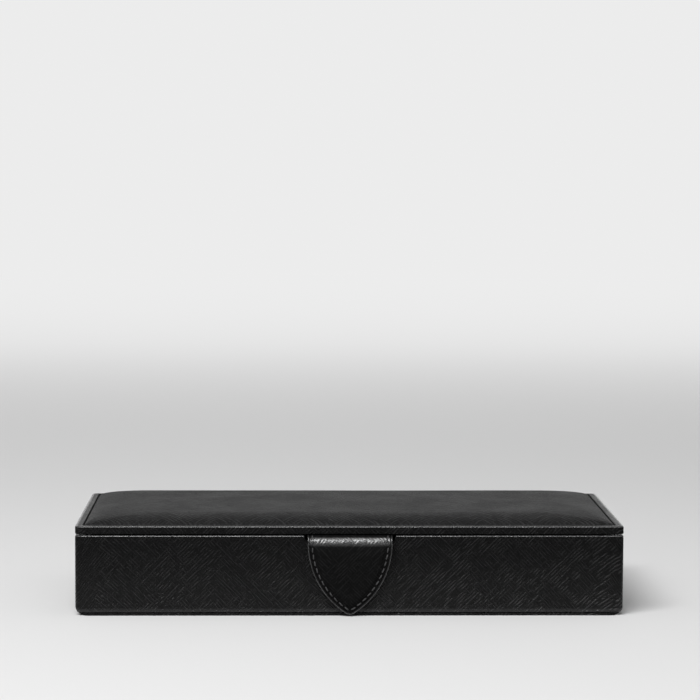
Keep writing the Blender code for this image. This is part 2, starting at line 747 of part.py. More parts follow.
def build():
    clear_scene()
    finishes = {
        "leather": material("black_leather", (0.012, 0.012, 0.013), 0.5),
        "tab_leather": material("black_tab_leather", (0.01, 0.01, 0.011), 0.35),
        "board": material("grey_board", (0.3, 0.28, 0.25), 0.9),
        "suede": material("grey_suede", (0.11, 0.11, 0.12), 0.95),
        "foam": material("foam", (0.75, 0.74, 0.68), 0.95),
        "brass": material("brass", (0.72, 0.53, 0.22), 0.3, 1.0),
        "steel": material("steel", (0.6, 0.6, 0.62), 0.35, 1.0),
    }
    case = empty("case", Vector((0, 0, 0)))
    lid = empty("lid", Vector((0, HINGE_Y, HINGE_Z)), case)
    tab = empty("tab", Vector((0, TAB_AXIS_Y, TAB_AXIS_Z)), lid)

    notch = notch_cutter(finishes["leather"], case)
    cover = combine(case_cover(finishes["leather"], case), "DIFFERENCE", notch)
    boards = wall_boards(finishes["board"], case, notch)
    wall_linings(finishes["suede"], case, notch)
    base_pieces(finishes, case)
    dividers(finishes["suede"], case)
    notch_facing(finishes["leather"], case)
    striker(finishes, case, boards["front_board"])

    edging = lid_cover(finishes["leather"], lid)
    board = lid_board(finishes["board"], lid)
    lid_pad(finishes, lid)
    lid_lining(finishes["suede"], lid)
    tongue_root(finishes["tab_leather"], lid)
    tongue_bend(finishes["tab_leather"], lid)
    tab_pieces(finishes, tab)

    drilled = {"case": boards["rear_board"], "lid": board}
    for side, x in (("left", HINGE_INSET - HALF_X), ("right", HALF_X - HINGE_INSET)):
        low, high = CASE_TOP - LEAF - GLUE, CASE_TOP + OVERRUN
        leaf_pocket(f"case_pocket_{side}", x, low, high, finishes["brass"], case, cover)
        low, high = LID_FOOT - OVERRUN, LID_FOOT + LEAF + GLUE
        leaf_pocket(f"lid_pocket_{side}", x, low, high, finishes["brass"], lid, edging, board)
        hinge(side, x, finishes, case, lid, drilled)


build()
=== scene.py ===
"""Cufflink box, dressed: cross-grained black leather over the case and lid, a crowned leather pad, a
stitched tongue, a suede inside and brass hinges.

Lengths are in metres. +X runs along the box and -Y out of its front. A skin is a grid of points worked
out as whole arrays: the first index runs round or along the piece, and the second across it. Each skin
carries a UV map in millimetres of flat material, which the leather and suede finishes read.
"""

import math

import bmesh
import bpy
import numpy as np
from mathutils import Matrix, Vector


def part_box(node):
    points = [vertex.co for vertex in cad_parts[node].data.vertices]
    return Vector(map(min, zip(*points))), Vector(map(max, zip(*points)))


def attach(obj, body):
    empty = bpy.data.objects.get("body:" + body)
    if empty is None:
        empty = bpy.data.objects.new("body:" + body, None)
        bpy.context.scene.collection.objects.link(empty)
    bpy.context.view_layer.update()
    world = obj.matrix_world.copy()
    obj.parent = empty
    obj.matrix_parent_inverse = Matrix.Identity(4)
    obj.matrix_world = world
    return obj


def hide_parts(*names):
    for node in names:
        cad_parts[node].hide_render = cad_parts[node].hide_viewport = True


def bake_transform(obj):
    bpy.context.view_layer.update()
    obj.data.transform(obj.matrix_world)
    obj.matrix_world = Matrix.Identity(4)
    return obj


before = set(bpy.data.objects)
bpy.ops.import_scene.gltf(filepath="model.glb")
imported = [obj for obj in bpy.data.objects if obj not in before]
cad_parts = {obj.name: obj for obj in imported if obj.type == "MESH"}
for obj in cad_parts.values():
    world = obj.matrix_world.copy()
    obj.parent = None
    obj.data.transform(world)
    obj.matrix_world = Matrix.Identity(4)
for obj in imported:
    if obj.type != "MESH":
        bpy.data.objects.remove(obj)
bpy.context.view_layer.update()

MM = 0.001

# Sizes read from the frame
CASE_LOW, CASE_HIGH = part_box("case_cover")
LID_LOW, LID_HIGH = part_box("lid_cover")
PAD_LOW, PAD_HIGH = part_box("pad_cover")
PANEL_LOW, PANEL_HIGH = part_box("base_panel")
FACING_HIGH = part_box("notch_facing")[1]
LINING_LOW, LINING_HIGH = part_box("front_lining")
HALF_X, HALF_Y = CASE_HIGH.x, CASE_HIGH.y
CASE_TOP, CASE_FOOT = CASE_HIGH.z, CASE_LOW.z
LID_FOOT, LID_TOP = LID_LOW.z, LID_HIGH.z

# Leather of the case and lid
CORNER_RADIUS = 2 * MM
BOX = ((HALF_X, HALF_Y), CORNER_RADIUS)
LEAST_RADIUS = 0.8 * MM
COVER = 0.9 * MM
TOP_DULLNESS = 0.35
FOOT_GLOSS_AND_PAINTED_LIGHT = 0.3
FOOT_BAND = 1.8 * MM
MOUTH_SHINE = 0.4 * MM
MOUTH_FADE = 0.25 * MM
NOTCH_DULLNESS = 0.9
END_ROUND = 3.7 * MM
FRONT_ROUND = 0.45 * MM
END_ROUND_FROM = 6 * MM
END_ROUND_BLEND = 3.5 * MM
PANEL_INSET = 0.3 * MM
PANEL_ROUND = 0.25 * MM
MOUTH_RADIUS = 0.5 * MM
TURN_IN = LINING_LOW.y + HALF_Y - 0.1 * MM
TURN_UNDER = 12 * MM
NOTCH_SLOPE = 1.0 * MM
NOTCH_HALF = FACING_HIGH.x - 0.2 * MM
NOTCH_DEPTH = CASE_TOP - FACING_HIGH.z
LEAF_SINK = 1.1 * MM
LEAF_SLOPE = 0.12 * MM
WALL_DIP_REACH = 7 * MM
LID_COVER = 0.55 * MM
LID_EDGE_RADIUS = 0.38 * MM
LID_TURN_UNDER = 5.9 * MM
RIM_SHINE = 0.42 * MM
RIM_FADE = 0.16 * MM
RIM_REACH = 0.6 * MM
BORDER = 3 * MM
BORDER_DOME = 0.1 * MM


def smoothstep(t):
    """0 below 0, 1 above 1, and 3tt - 2ttt between."""
    t = np.clip(t, 0, 1)
    return t * t * (3 - 2 * t)


def arc(centre, radius, start, end, steps):
    """Points of an arc in a plane, from angle start to angle end in degrees."""
    turn = np.radians(np.linspace(start, end, steps + 1))
    return np.stack([centre[0] + radius * np.cos(turn), centre[1] + radius * np.sin(turn)], 1)


def run_length(points, axis):
    """Length run along one axis of a grid of points, from nought."""
    steps = np.linalg.norm(np.diff(points, axis=axis), axis=-1)
    start = np.zeros_like(np.take(steps, [0], axis=axis))
    return np.concatenate([start, np.cumsum(steps, axis=axis)], axis=axis)


def skin(name, points, close_u=False, close_v=False, fill=False, uv=None, weld=True, polish=None):
    """A mesh of quads over a grid of points (m, n, 3).

    close_u joins the last row to the first and close_v the last column to the first; fill caps the
    first and last rows of a skin that closes across. uv is a grid (m + 1 or m, n + 1 or n, 2) of
    millimetres, and otherwise the lengths run along the middle column and along each row.
    polish at each point goes from 1, where the leather shines and the finish paints its colour lighter
    as a painted highlight, through 0 to -1, where it is dull.
    """
    m, n = points.shape[:2]
    ring = np.concatenate([points, points[:1]]) if close_u else points
    ring = np.concatenate([ring, ring[:, :1]], axis=1) if close_v else ring
    rows, columns = ring.shape[0] - 1, ring.shape[1] - 1
    if uv is None:
        along = run_length(ring, 0)[:, columns // 2]
        across = run_length(ring, 1)
        uv = np.stack([np.broadcast_to(along[:, None], across.shape), across], -1) / MM
    i, j = np.meshgrid(np.arange(rows), np.arange(columns), indexing="ij")
    next_i, next_j = (i + 1) % m, (j + 1) % n
    quads = np.stack([i * n + j, next_i * n + j, next_i * n + next_j, i * n + next_j], -1)
    flat = np.stack([uv[i, j], uv[i + 1, j], uv[i + 1, j + 1], uv[i, j + 1]], 2)
    faces = quads.reshape(-1, 4).tolist()
    corners = flat.reshape(-1, 2)
    if fill:
        faces += [np.arange(n)[::-1].tolist(), (np.arange(n) + (m - 1) * n).tolist()]
        corners = np.concatenate([corners, uv[0, :n][::-1], uv[-1, :n]])
    mesh = bpy.data.meshes.new(name)
    mesh.from_pydata(points.reshape(-1, 3), [], faces)
    layer = mesh.uv_layers.new(name="flat")
    layer.data.foreach_set("uv", np.ascontiguousarray(corners, np.float32).ravel())
    if polish is not None:
        shine = np.broadcast_to(polish, (m, n)).astype(np.float32).ravel()
        mesh.attributes.new("polish", "FLOAT", "POINT").data.foreach_set("value", shine)
    made = bpy.data.objects.new(name, mesh)
    bpy.context.scene.collection.objects.link(made)
    if weld:
        tidy_mesh(mesh)
    mesh.shade_smooth()
    return made


def tidy_mesh(mesh):
    """Merges points that meet, drops faces with no area, and turns faces outwards."""
    work = bmesh.new()
    work.from_mesh(mesh)
    bmesh.ops.remove_doubles(work, verts=work.verts, dist=MM / 1000)
    bmesh.ops.dissolve_degenerate(work, edges=work.edges, dist=MM / 1000)
    bmesh.ops.recalc_face_normals(work, faces=work.faces)
    work.to_mesh(mesh)
    work.free()


def finish_piece(piece, material, slot, body, *nodes, sharp=35):
    """Gives a piece its finish, its sharp edges and its place in the frame."""
    piece.data.set_sharp_from_angle(angle=math.radians(sharp))
    piece.data.materials.append(material)
    if nodes:
        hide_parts(*nodes)
    if body:
        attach(piece, body)
    return piece


def side_stops(half, step, fine=()):
    """Places along a side from -half to half, step apart, with rows of closer ones about fine places."""
    stops = [np.linspace(-half, half, max(2, round(2 * half / step)) + 1)]
    for centre, reach, count in fine:
        stops.append(np.linspace(centre - reach, centre + reach, count))
    stops = np.unique(np.round(np.concatenate(stops), 7))
    keep = np.concatenate([[True], np.diff(stops) > MM / 50])
    return stops[keep & (abs(stops) <= half)]


def rounded_ring(half, radius, insets, heights, stops, corner=None, power=8, steps=8):
    """Points round a rectangle with rounded corners, one column for each inset and height.

    The corner's radius is radius less the inset, and no less than LEAST_RADIUS, unless corner gives it
    for each column. A straight's points draw in towards its middle with a power of their distance from
    it: at 8 those near the middle hold their place, and at 1 all draw in alike.
    stops gives the places along the front, right, back and left, and the ring starts behind.
    """
    insets, heights = np.asarray(insets, float), np.asarray(heights, float)
    base = np.array(half) - radius
    corner = np.maximum(radius - insets, LEAST_RADIUS) if corner is None else corner
    front, right, back, left = stops
    sides = (
        (front, (1, 0), (0, -1)),
        (right, (0, 1), (1, 0)),
        (-back[::-1], (-1, 0), (0, 1)),
        (-left[::-1], (0, -1), (-1, 0)),
    )
    parts = []
    for number, (run, along, out) in enumerate(sides):
        along, out = np.array(along, float), np.array(out, float)
        share = np.sign(run) * abs(run / (base @ abs(along))) ** power
        place = run[:, None] * along + (base @ abs(out)) * out
        parts.append((place, share[:, None] * along + out, np.tile(out, (len(run), 1))))
        turn = np.radians(90 * number - 90 + 90 * np.arange(1, steps) / steps)
        normal = np.stack([np.cos(turn), np.sin(turn)], 1)
        both = along + out
        parts.append((np.tile(base * both, (steps - 1, 1)), np.tile(both, (steps - 1, 1)), normal))
    place, pull, normal = (np.concatenate([part[k] for part in parts]) for k in range(3))
    start = -int(np.argmin(abs(place[:, 0]) + (normal[:, 1] < 1)))
    place, pull, normal = (np.roll(array, start, axis=0) for array in (place, pull, normal))
    shrink = np.array(half) - insets[:, None] - corner[:, None] - base
    flat = place[:, None] + pull[:, None] * shrink + normal[:, None] * corner[:, None]
    return np.concatenate([flat, np.tile(heights[:, None], (len(flat), 1, 1))], 2)


def box_stops(half, radius, step, fine_front=(), fine_back=()):
    """Places along the four sides of a rectangle, for rounded_ring."""
    long, short = half[0] - radius, half[1] - radius
    ends = side_stops(short, step)
    return side_stops(long, step, fine_front), ends, side_stops(long, step, fine_back), ends


def ramp(x, half, slope):
    """1 inside half of the middle, 0 past half and slope, and straight between, a little rounded."""
    return smoothstep((half + slope - abs(x)) / slope * 0.9 + 0.05)


def hinge_places():
    """The middle and half length of each hinge's leaf, from the frame."""
    boxes = [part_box(f"case_leaf_{side}") for side in ("left", "right")]
    return [((low.x + high.x) / 2, (high.x - low.x) / 2) for low, high in boxes]


def leaf_fine():
    """Closer stops about the ends of the leaves."""
    return [
        (centre + side * (half + LEAF_SLOPE + 0.3 * MM), LEAF_SLOPE, 4)
        for centre, half in hinge_places()
        for side in (-1, 1)
    ]


def leaf_dip(points):
    """How far the leather is let down under each hinge's leaf: the leaf's room, with steep ends."""
    dips = [ramp(points[..., 0] - centre, half + 0.3 * MM, LEAF_SLOPE) for centre, half in hinge_places()]
    return LEAF_SINK * sum(dips) * (points[..., 1] > 0)


def round_up(radius, centre, low, high, steps):
    """Insets and heights up the outside of a round, from low to high, its centre at a height."""
    low_turn, high_turn = np.degrees(np.arcsin(np.clip((centre - np.array([low, high])) / radius, 0, 1)))
    return arc((radius, centre), radius, 180 + low_turn, 180 + high_turn, steps)


def ends_rounded(straight, rounded, stops):
    """A ring round the case that has one section along the front and back and another round the ends."""
    rings = []
    for section in (straight, rounded):
        insets = section[:, 0]
        corner = np.where(insets < HALF_Y, np.maximum(CORNER_RADIUS - insets, LEAST_RADIUS), 0)
        rings.append(rounded_ring(*BOX, insets, section[:, 1], stops, corner))
    to_end = (abs(rings[1][..., :1]) - HALF_X + END_ROUND_FROM) / END_ROUND_BLEND
    return rings[0] + (rings[1] - rings[0]) * smoothstep(to_end)


def notch_fine(count):
    """Closer stops about the slopes of the notch."""
    return [(side * (NOTCH_HALF + NOTCH_SLOPE / 2), NOTCH_SLOPE, count) for side in (-1, 1)]


def notch_dip(points):
    """How far the front's top is let down at the notch."""
    return NOTCH_DEPTH * ramp(points[..., 0], NOTCH_HALF, NOTCH_SLOPE) * (points[..., 1] < 0)


def end_fine():
    """Closer stops where the section changes near the ends."""
    middle = HALF_X - END_ROUND_FROM + END_ROUND_BLEND / 2
    return [(side * middle, END_ROUND_BLEND / 2, 8) for side in (-1, 1)]


def case_section(radius, centre):
    """The case leather's section from the outside: turn-under, foot, wall, mouth and turn-in."""
    foot = round_up(radius, centre, CASE_FOOT, centre, 8)
    below_mouth = CASE_TOP - MOUTH_RADIUS - np.array([2.5, 1, 0.6, 0.3, 0.1]) * MM
    above_foot = centre + np.array([0.1, 0.7, 1.4]) * MM
    wall = np.concatenate([above_foot, np.linspace(above_foot[-1], below_mouth[0], 7)[1:-1], below_mouth])
    mouth = arc((MOUTH_RADIUS, CASE_TOP - MOUTH_RADIUS), MOUTH_RADIUS, 180, 90, 6)
    inner = max(radius, COVER * 1.2)
    inside = [
        (TURN_IN - 0.3 * MM, CASE_TOP),
        (TURN_IN, CASE_TOP - 0.3 * MM),
        (TURN_IN, CASE_TOP - COVER),
        (COVER * 1.1, CASE_TOP - COVER),
        (COVER, CASE_TOP - COVER * 1.1),
        (COVER, CASE_FOOT + inner),
        (inner, CASE_FOOT + COVER),
        (TURN_UNDER, CASE_FOOT + COVER),
    ]
    upright = np.stack([0 * wall, wall], 1)
    return np.concatenate([[(TURN_UNDER, CASE_FOOT)], foot, upright, mouth, inside])


def case_leather(material):
    """Leather round the walls: its section carried round the case, let down at the notch and the leaves.

    The ends stand on a round of END_ROUND that starts at the floor, and the front and back on a small
    one. A dip of the top is shared down the wall by the cube of the height.
    """
    fine_front, fine_back = notch_fine(15) + end_fine(), leaf_fine() + end_fine()
    stops = box_stops(*BOX, 2.5 * MM, fine_front, fine_back)
    straight = case_section(FRONT_ROUND, CASE_FOOT + FRONT_ROUND)
    points = ends_rounded(straight, case_section(END_ROUND, END_ROUND), stops)
    notch = notch_dip(points)
    near_top = np.clip((points[..., 2] - (CASE_TOP - WALL_DIP_REACH)) / (WALL_DIP_REACH - COVER), 0, 1)
    points[..., 2] -= (notch + leaf_dip(points)) * near_top**3
    fold = abs(points[..., 2] - (CASE_TOP - MOUTH_RADIUS * 0.3) + notch + leaf_dip(points))
    # Painted highlight: where the mouth's fold shines, the finish also makes its colour lighter.
    shine = smoothstep((MOUTH_SHINE - fold) / MOUTH_FADE)
    polish = shine * (1 - (1 + NOTCH_DULLNESS) * notch / NOTCH_DEPTH)
    polish -= TOP_DULLNESS * smoothstep(points[..., 2] / CASE_TOP) * (1 - polish)
    # The foot's band shines and its colour is made lighter: painted light standing for the pale floor's
    # reflection.
    polish += FOOT_GLOSS_AND_PAINTED_LIGHT * smoothstep((CASE_FOOT + FOOT_BAND - points[..., 2]) / MM)
    piece = skin("case_leather", points, close_u=True, close_v=True, polish=polish)
    return finish_piece(piece, material, "case_leather", "case", "case_cover", "notch_facing")


def lid_leather(material):
    """Leather round the lid's edge: a C section with a rounded rim and a faintly domed border on top."""
    radius = LID_EDGE_RADIUS
    low_edge = arc((0.3 * MM, LID_FOOT + 0.3 * MM), 0.3 * MM, 270, 180, 3)
    wall = [(0, LID_FOOT + 0.4 * MM), (0, LID_TOP - radius - 0.1 * MM)]
    high_edge = arc((radius, LID_TOP - radius), radius, 180, 90, 8)
    across = np.linspace(radius + 0.1 * MM, BORDER - 0.35 * MM, 7)
    dome = BORDER_DOME * (1 - ((across - BORDER / 2) / (BORDER / 2)) ** 2)
    inner_edge = arc((BORDER - 0.35 * MM, LID_TOP - 0.35 * MM), 0.35 * MM, 90, 0, 4)[1:]
    under = [
        (BORDER + 0.08 * MM, PAD_LOW.z - 0.06 * MM),
        (BORDER + 1.6 * MM, PAD_LOW.z - 0.06 * MM),
        (BORDER + 1.6 * MM, PAD_LOW.z - 0.16 * MM),
        (LID_COVER * 1.5, PAD_LOW.z - 0.2 * MM),
        (LID_COVER, LID_TOP - LID_COVER * 2.2),
        (LID_COVER, LID_FOOT + LID_COVER * 1.2),
        (LID_COVER * 1.2, LID_FOOT + LID_COVER),
        (LID_TURN_UNDER, LID_FOOT + LID_COVER),
        (LID_TURN_UNDER, LID_FOOT + 0.1 * MM),
        (LID_TURN_UNDER - 0.1 * MM, LID_FOOT),
    ]
    top = np.stack([across, LID_TOP + dome], 1)
    profile = np.concatenate([low_edge, wall, high_edge, top, inner_edge, under])
    stops = box_stops(*BOX, 2.5 * MM, (), leaf_fine())
    points = rounded_ring(*BOX, profile[:, 0], profile[:, 1], stops)
    low = np.clip((LID_FOOT + 2 * MM - points[..., 2]) / (1.4 * MM), 0, 1)
    points[..., 2] += leaf_dip(points) * low
    # Painted highlight: where the rim shines, the finish also makes its colour lighter.
    rim = smoothstep((points[..., 2] - (LID_TOP - RIM_SHINE)) / RIM_FADE)
    polish = rim * smoothstep(2 - profile[:, 0] / RIM_REACH)
    polish -= TOP_DULLNESS * (1 - polish) * (points[..., 2] < LID_TOP)
    piece = skin("lid_leather", points, close_u=True, close_v=True, polish=polish)
    return finish_piece(piece, material, "case_leather", "lid", "lid_cover")


# Pad on the lid
PAD_INSET = PAD_LOW.x + HALF_X
PAD_SHOULDER = 14 * MM
PAD_CORNER = 1.5 * MM
PAD_CORNER_GROWTH = 1.1
PAD_ROUNDNESS = 1.7
PAD_CROWN = 0.25 * MM
PAD_UNEVEN = 0.05 * MM


def pad_leather(material):
    """The crowned leather pad: a superellipse from its foot up over the shoulder, then a low crown.

    Rings run from the middle of the underside out to the foot, up the shoulder and in to the middle.
    The shoulder's rise is (1 - (1 - s) ** n) ** (1 / n) of the height, with s the share of its run.
    """
    low, high = PAD_LOW.z, PAD_HIGH.z
    middle = HALF_Y - PAD_INSET
    share = 1 - np.cos(np.linspace(0, np.pi / 2, 26))
    rise = (1 - (1 - share) ** PAD_ROUNDNESS) ** (1 / PAD_ROUNDNESS)
    top_run = np.linspace(PAD_SHOULDER, middle, 18)[1:]
    run = np.concatenate([[middle, middle / 2], share * PAD_SHOULDER, top_run])
    height = low + (high - low) * np.concatenate([[0, 0], rise, np.ones(len(top_run))])
    height[2:] += PAD_CROWN * np.sin(np.pi / 2 * run[2:] / middle) ** 2
    corner = np.minimum(PAD_CORNER + PAD_CORNER_GROWTH * run, middle - run)
    corner[:2] = 0
    stops = box_stops(*BOX, 2.5 * MM)
    points = rounded_ring(*BOX, PAD_INSET + run, height, stops, corner, power=1, steps=14)
    x, y = points[..., 0] / (27 * MM), points[..., 1] / (19 * MM)
    waves = np.sin(x + 1.7 * np.sin(y)) * np.cos(1.3 * y + 0.4 * x) + 0.5 * np.sin(2.3 * x - 1.9 * y)
    points[:, 3:, 2] += (PAD_UNEVEN * waves * smoothstep(run / PAD_SHOULDER))[:, 3:]
    ring = np.concatenate([points, points[:1]])
    piece = skin("pad_leather", points, close_u=True, uv=ring[..., :2] / MM)
    return finish_piece(piece, material, "case_leather", "lid", "pad_cover", "pad_foam", sharp=60)


def panel_section(inset, round_edge):
    """The base panel's section: from the middle of its underside out round its edge and over its top."""
    low, high = PANEL_LOW.z, PANEL_HIGH.z
    under = [(HALF_Y, low), (15 * MM, low)]
    over = [(inset + round_edge[-1, 0], high), (inset + 5 * MM, high), (HALF_Y, high)]
    return np.concatenate([under, round_edge + (inset, 0), over])


def base_leather(material):
    """The covered panel under the case: rings from the middle of its underside out round its edge.

    It lies nearly flush with the front and back, and goes on with the round of the case's ends.
    """
    low, high = PANEL_LOW.z, PANEL_HIGH.z
    straight = panel_section(PANEL_INSET, round_up(PANEL_ROUND, low + PANEL_ROUND, low, high - 0.1 * MM, 8))
    rounded = panel_section(0, round_up(END_ROUND, END_ROUND, low, high - 0.1 * MM, 8))
    stops = box_stops(*BOX, 8 * MM, end_fine(), end_fine())
    piece = skin("base_leather", ends_rounded(straight, rounded, stops), close_u=True)
    return finish_piece(piece, material, "case_leather", "case", "base_panel", sharp=60)


# Tongue: a strip glued under the lid, bent over the front, and a stitched tab with a raised field
TAB_LOW, TAB_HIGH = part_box("tab_face")
BACKING_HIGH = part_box("tab_backing")[1]
ROOT_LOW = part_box("tongue_root")[0]
BEND_LOW, BEND_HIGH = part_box("tongue_bend")
BEND_EASE = 1 * MM
BEND_Y = BEND_HIGH.y + BEND_EASE
BEND_RADIUS = BEND_HIGH.y - BEND_LOW.y + BEND_EASE
BEND_Z = BEND_HIGH.z - BEND_RADIUS
BEND_RUN = BEND_RADIUS * math.pi / 2
TAB_HALF = TAB_HIGH.x
TAB_STRAIGHT = 0.8 * MM - BEND_EASE
TAB_ARC = 33 * MM
TIP_RADIUS = 3 * MM
TONGUE_ROOT_RUN = 13 * MM
ROOT_THICK = BEND_HIGH.z - ROOT_LOW.z
TAB_THICK = BACKING_HIGH.y - (BEND_Y - BEND_RADIUS)
EDGE_BAND = 4.2 * MM
FIELD_DULLNESS = 0.7
CREASE_INSET = 0.95 * MM
CREASE_DEPTH = 0.32 * MM
CREASE_WIDTH = 0.2 * MM
SEAM_INSET = 1.9 * MM
CHANNEL_WIDTH = 0.36 * MM
FIELD_INSET = 2.4 * MM
FIELD_SLOPE = 1.5 * MM
FIELD_DOME = 0.12 * MM
EDGE_ROUND = 0.5 * MM
EDGE_SHINE = 0.45 * MM
FIELD_RISE = BEND_Y - BEND_RADIUS - TAB_LOW.y
STITCH_PITCH = 2.75 * MM
THREAD = 0.27 * MM


def tab_edge(inset, share):
    """The tongue's right edge brought in by inset, as places across and down, for shares from 0 to 3.

    From 0 to 1 it runs down the straight strip, from 1 to 2 round the long arc, and from 2 to 3 round
    the tip. The arcs keep their centres, and a radius of the tip that would be less than nought is
    left out, where the two long arcs meet in a point.
    """
    centre = TAB_HALF - TAB_ARC
    radius = TAB_ARC - inset
    tip = np.maximum(TIP_RADIUS - inset, 0)
    end = np.arccos(-centre / (radius - tip))
    down = -BEND_RUN - TONGUE_ROOT_RUN + (BEND_RUN + TONGUE_ROOT_RUN + TAB_STRAIGHT) * np.clip(share, 0, 1)
    turn = end * np.clip(share - 1, 0, 1)
    turned = (np.pi / 2 - end) * np.clip(share - 2, 0, 1)
    x = centre + radius * np.cos(turn)
    d = down + radius * np.sin(turn)
    x += tip * (np.cos(end + turned) - np.cos(end))
    d += tip * (np.sin(end + turned) - np.sin(end))
    return x, d


def tongue_place(x, down, height):
    """Bends flat leather over the front: across, down from the bend's end, and height off its face."""
    angle = np.clip(-down, 0, BEND_RUN) / BEND_RADIUS
    reach = BEND_RADIUS + height
    y = BEND_Y - reach * np.cos(angle) + np.clip(-down - BEND_RUN, 0, None)
    z = BEND_Z + reach * np.sin(angle) - np.clip(down, 0, None)
    return np.stack([x, y, z], -1)


def seam_run(share):
    """Length along the seam from the root, for shares of the edge from 0 to 3."""
    x, down = tab_edge(SEAM_INSET, np.linspace(0, 3, 1201))
    run = np.concatenate([[0], np.cumsum(np.hypot(np.diff(x), np.diff(down)))])
    return np.interp(share, np.linspace(0, 3, 1201), run)


def tongue_face(inset, down, run):
    """Height of the tongue's face: a crease, a channel with a pit at each stitch's end, and the field."""
    crease = -CREASE_DEPTH * np.exp(-(((inset - CREASE_INSET) / CREASE_WIDTH) ** 2))
    pit = 0.5 + 0.5 * np.cos(2 * np.pi * run / STITCH_PITCH)
    channel = -(0.1 + 0.16 * pit**6) * MM * np.exp(-(((inset - SEAM_INSET) / CHANNEL_WIDTH) ** 2))
    grown = smoothstep((down + 2 * MM) / (7 * MM))
    field = FIELD_RISE * grown * smoothstep((inset - FIELD_INSET) / FIELD_SLOPE)
    return crease + channel + field


def round_tongue(right, left, back_left, back_right):
    """Columns of four grids carried round the tongue in turn; the back takes every second one."""
    turned = [right, left[:, -2::-1], back_left[:, 1::2], back_right[:, 1::2][:, -2::-1]]
    return np.concatenate(turned, axis=1)


def tongue_leather(material):
    """The tongue in one skin: rows down its edge, and columns in from the edge over the face and back.

    Past EDGE_BAND the columns run level to the middle. The face's height is tongue_face, its edge is
    rounded by a quarter of an ellipse, and the back lies the leather's thickness under it.
    """
    share = np.concatenate([np.linspace(0, 1, 44)[:-1], np.linspace(1, 2, 98)[:-1], np.linspace(2, 3, 15)])
    rim = EDGE_ROUND * (1 - np.cos(np.linspace(0, np.pi / 2, 6)))
    band = np.concatenate([rim, np.linspace(EDGE_ROUND, EDGE_BAND, 34)[1:]])
    x, down = tab_edge(band[None, :], share[:, None])
    level = np.linspace(1, 0, 9)[1:]
    x = np.concatenate([x, x[:, -1:] * level], axis=1)
    down = np.concatenate([down, np.repeat(down[:, -1:], len(level), axis=1)], axis=1)
    inset = np.concatenate([band, EDGE_BAND * np.ones(len(level))])
    thick = ROOT_THICK + (TAB_THICK - ROOT_THICK) * smoothstep((down + BEND_RUN) / (BEND_RUN + 1 * MM))
    fall = 1 - np.sqrt(np.clip(1 - (1 - np.clip(inset / EDGE_ROUND, 0, 1)) ** 2, 0, 1))
    face = tongue_face(inset, down, seam_run(share)[:, None]) - 0.5 * thick * fall
    widest = np.maximum(x[:, len(band) - 1 : len(band)], MM)
    dome = FIELD_DOME * smoothstep(down / (6 * MM)) * (1 - (x / widest) ** 2)
    face[:, len(band) :] += dome[:, len(band) :]
    back = -thick + 0.5 * thick * fall
    flat, run = round_tongue(x, -x, -x, x), round_tongue(*[down] * 4)
    points = tongue_place(flat, run, round_tongue(face, face, back, back))
    uv = np.stack([flat, run], -1) / MM
    uv = np.concatenate([uv, uv[:, :1]], axis=1)
    # Painted highlight: the bend and the rounded rim shine, and the finish makes their colour lighter
    # there.
    bent = smoothstep((down + 3.2 * MM) / (1.6 * MM)) * smoothstep((1.3 * MM - down) / (2.2 * MM))
    shine = np.maximum(0.9 * np.exp(-((inset / EDGE_SHINE) ** 2)), bent)
    shine -= FIELD_DULLNESS * (1 - shine)
    polish = round_tongue(*[shine] * 4)
    piece = skin("tongue_leather", points, close_v=True, fill=True, uv=uv, polish=polish)
    nodes = ("tongue_root", "tongue_bend", "tab_face", "tab_backing")
    finish_piece(piece, material, "tongue_leather", None, *nodes, sharp=50)
    across_bend(piece)
    return piece


def across_bend(piece):
    """Bakes a piece of the tongue's transform into its mesh."""
    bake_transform(piece)


def tongue_stitches(material):
    """The seam's thread: a tube along the seam that rises between the pits and dips into each of them.

    Its height is a share of the thread's radius over the channel, less a fourth power of a cosine, and
    it leans a little across the seam from each pit to the next.
    """
    length = seam_run(3.0)
    per_stitch, around = 18, 9
    count = int(2 * length / STITCH_PITCH * per_stitch)
    run = np.linspace(2 * MM, 2 * length - 2 * MM, count)
    from_right = np.minimum(run, 2 * length - run)
    shares = np.linspace(0, 3, 1201)
    share = np.interp(from_right, seam_run(shares), shares)
    phase = from_right / STITCH_PITCH
    lean = 0.34 * MM * (phase - np.floor(phase) - 0.5) * np.where(run < length, 1, -1)
    x, down = tab_edge(SEAM_INSET + lean, share)
    x *= np.where(run < length, 1, -1)
    pit = (0.5 + 0.5 * np.cos(2 * np.pi * phase)) ** 2
    floor = tongue_face(SEAM_INSET, down, from_right * 0 + STITCH_PITCH / 2)
    height = floor + THREAD * 0.55 - pit * 0.9 * MM
    middle = tongue_place(x, down, height)
    ahead = np.gradient(middle, axis=0)
    ahead /= np.linalg.norm(ahead, axis=1, keepdims=True)
    out = tongue_place(x, down, height + 0.1 * MM) - middle
    side = np.cross(ahead, out)
    side /= np.linalg.norm(side, axis=1, keepdims=True)
    out = np.cross(side, ahead)
    turn = 2 * np.pi * np.arange(around) / around
    ring = np.cos(turn)[:, None] * side[:, None] + np.sin(turn)[:, None] * out[:, None]
    points = middle[:, None] + THREAD * ring
    piece = skin("tongue_stitches", points, close_v=True, fill=True, weld=False)
    finish_piece(piece, material, "tongue_leather", None, sharp=80)
    across_bend(piece)
    return piece


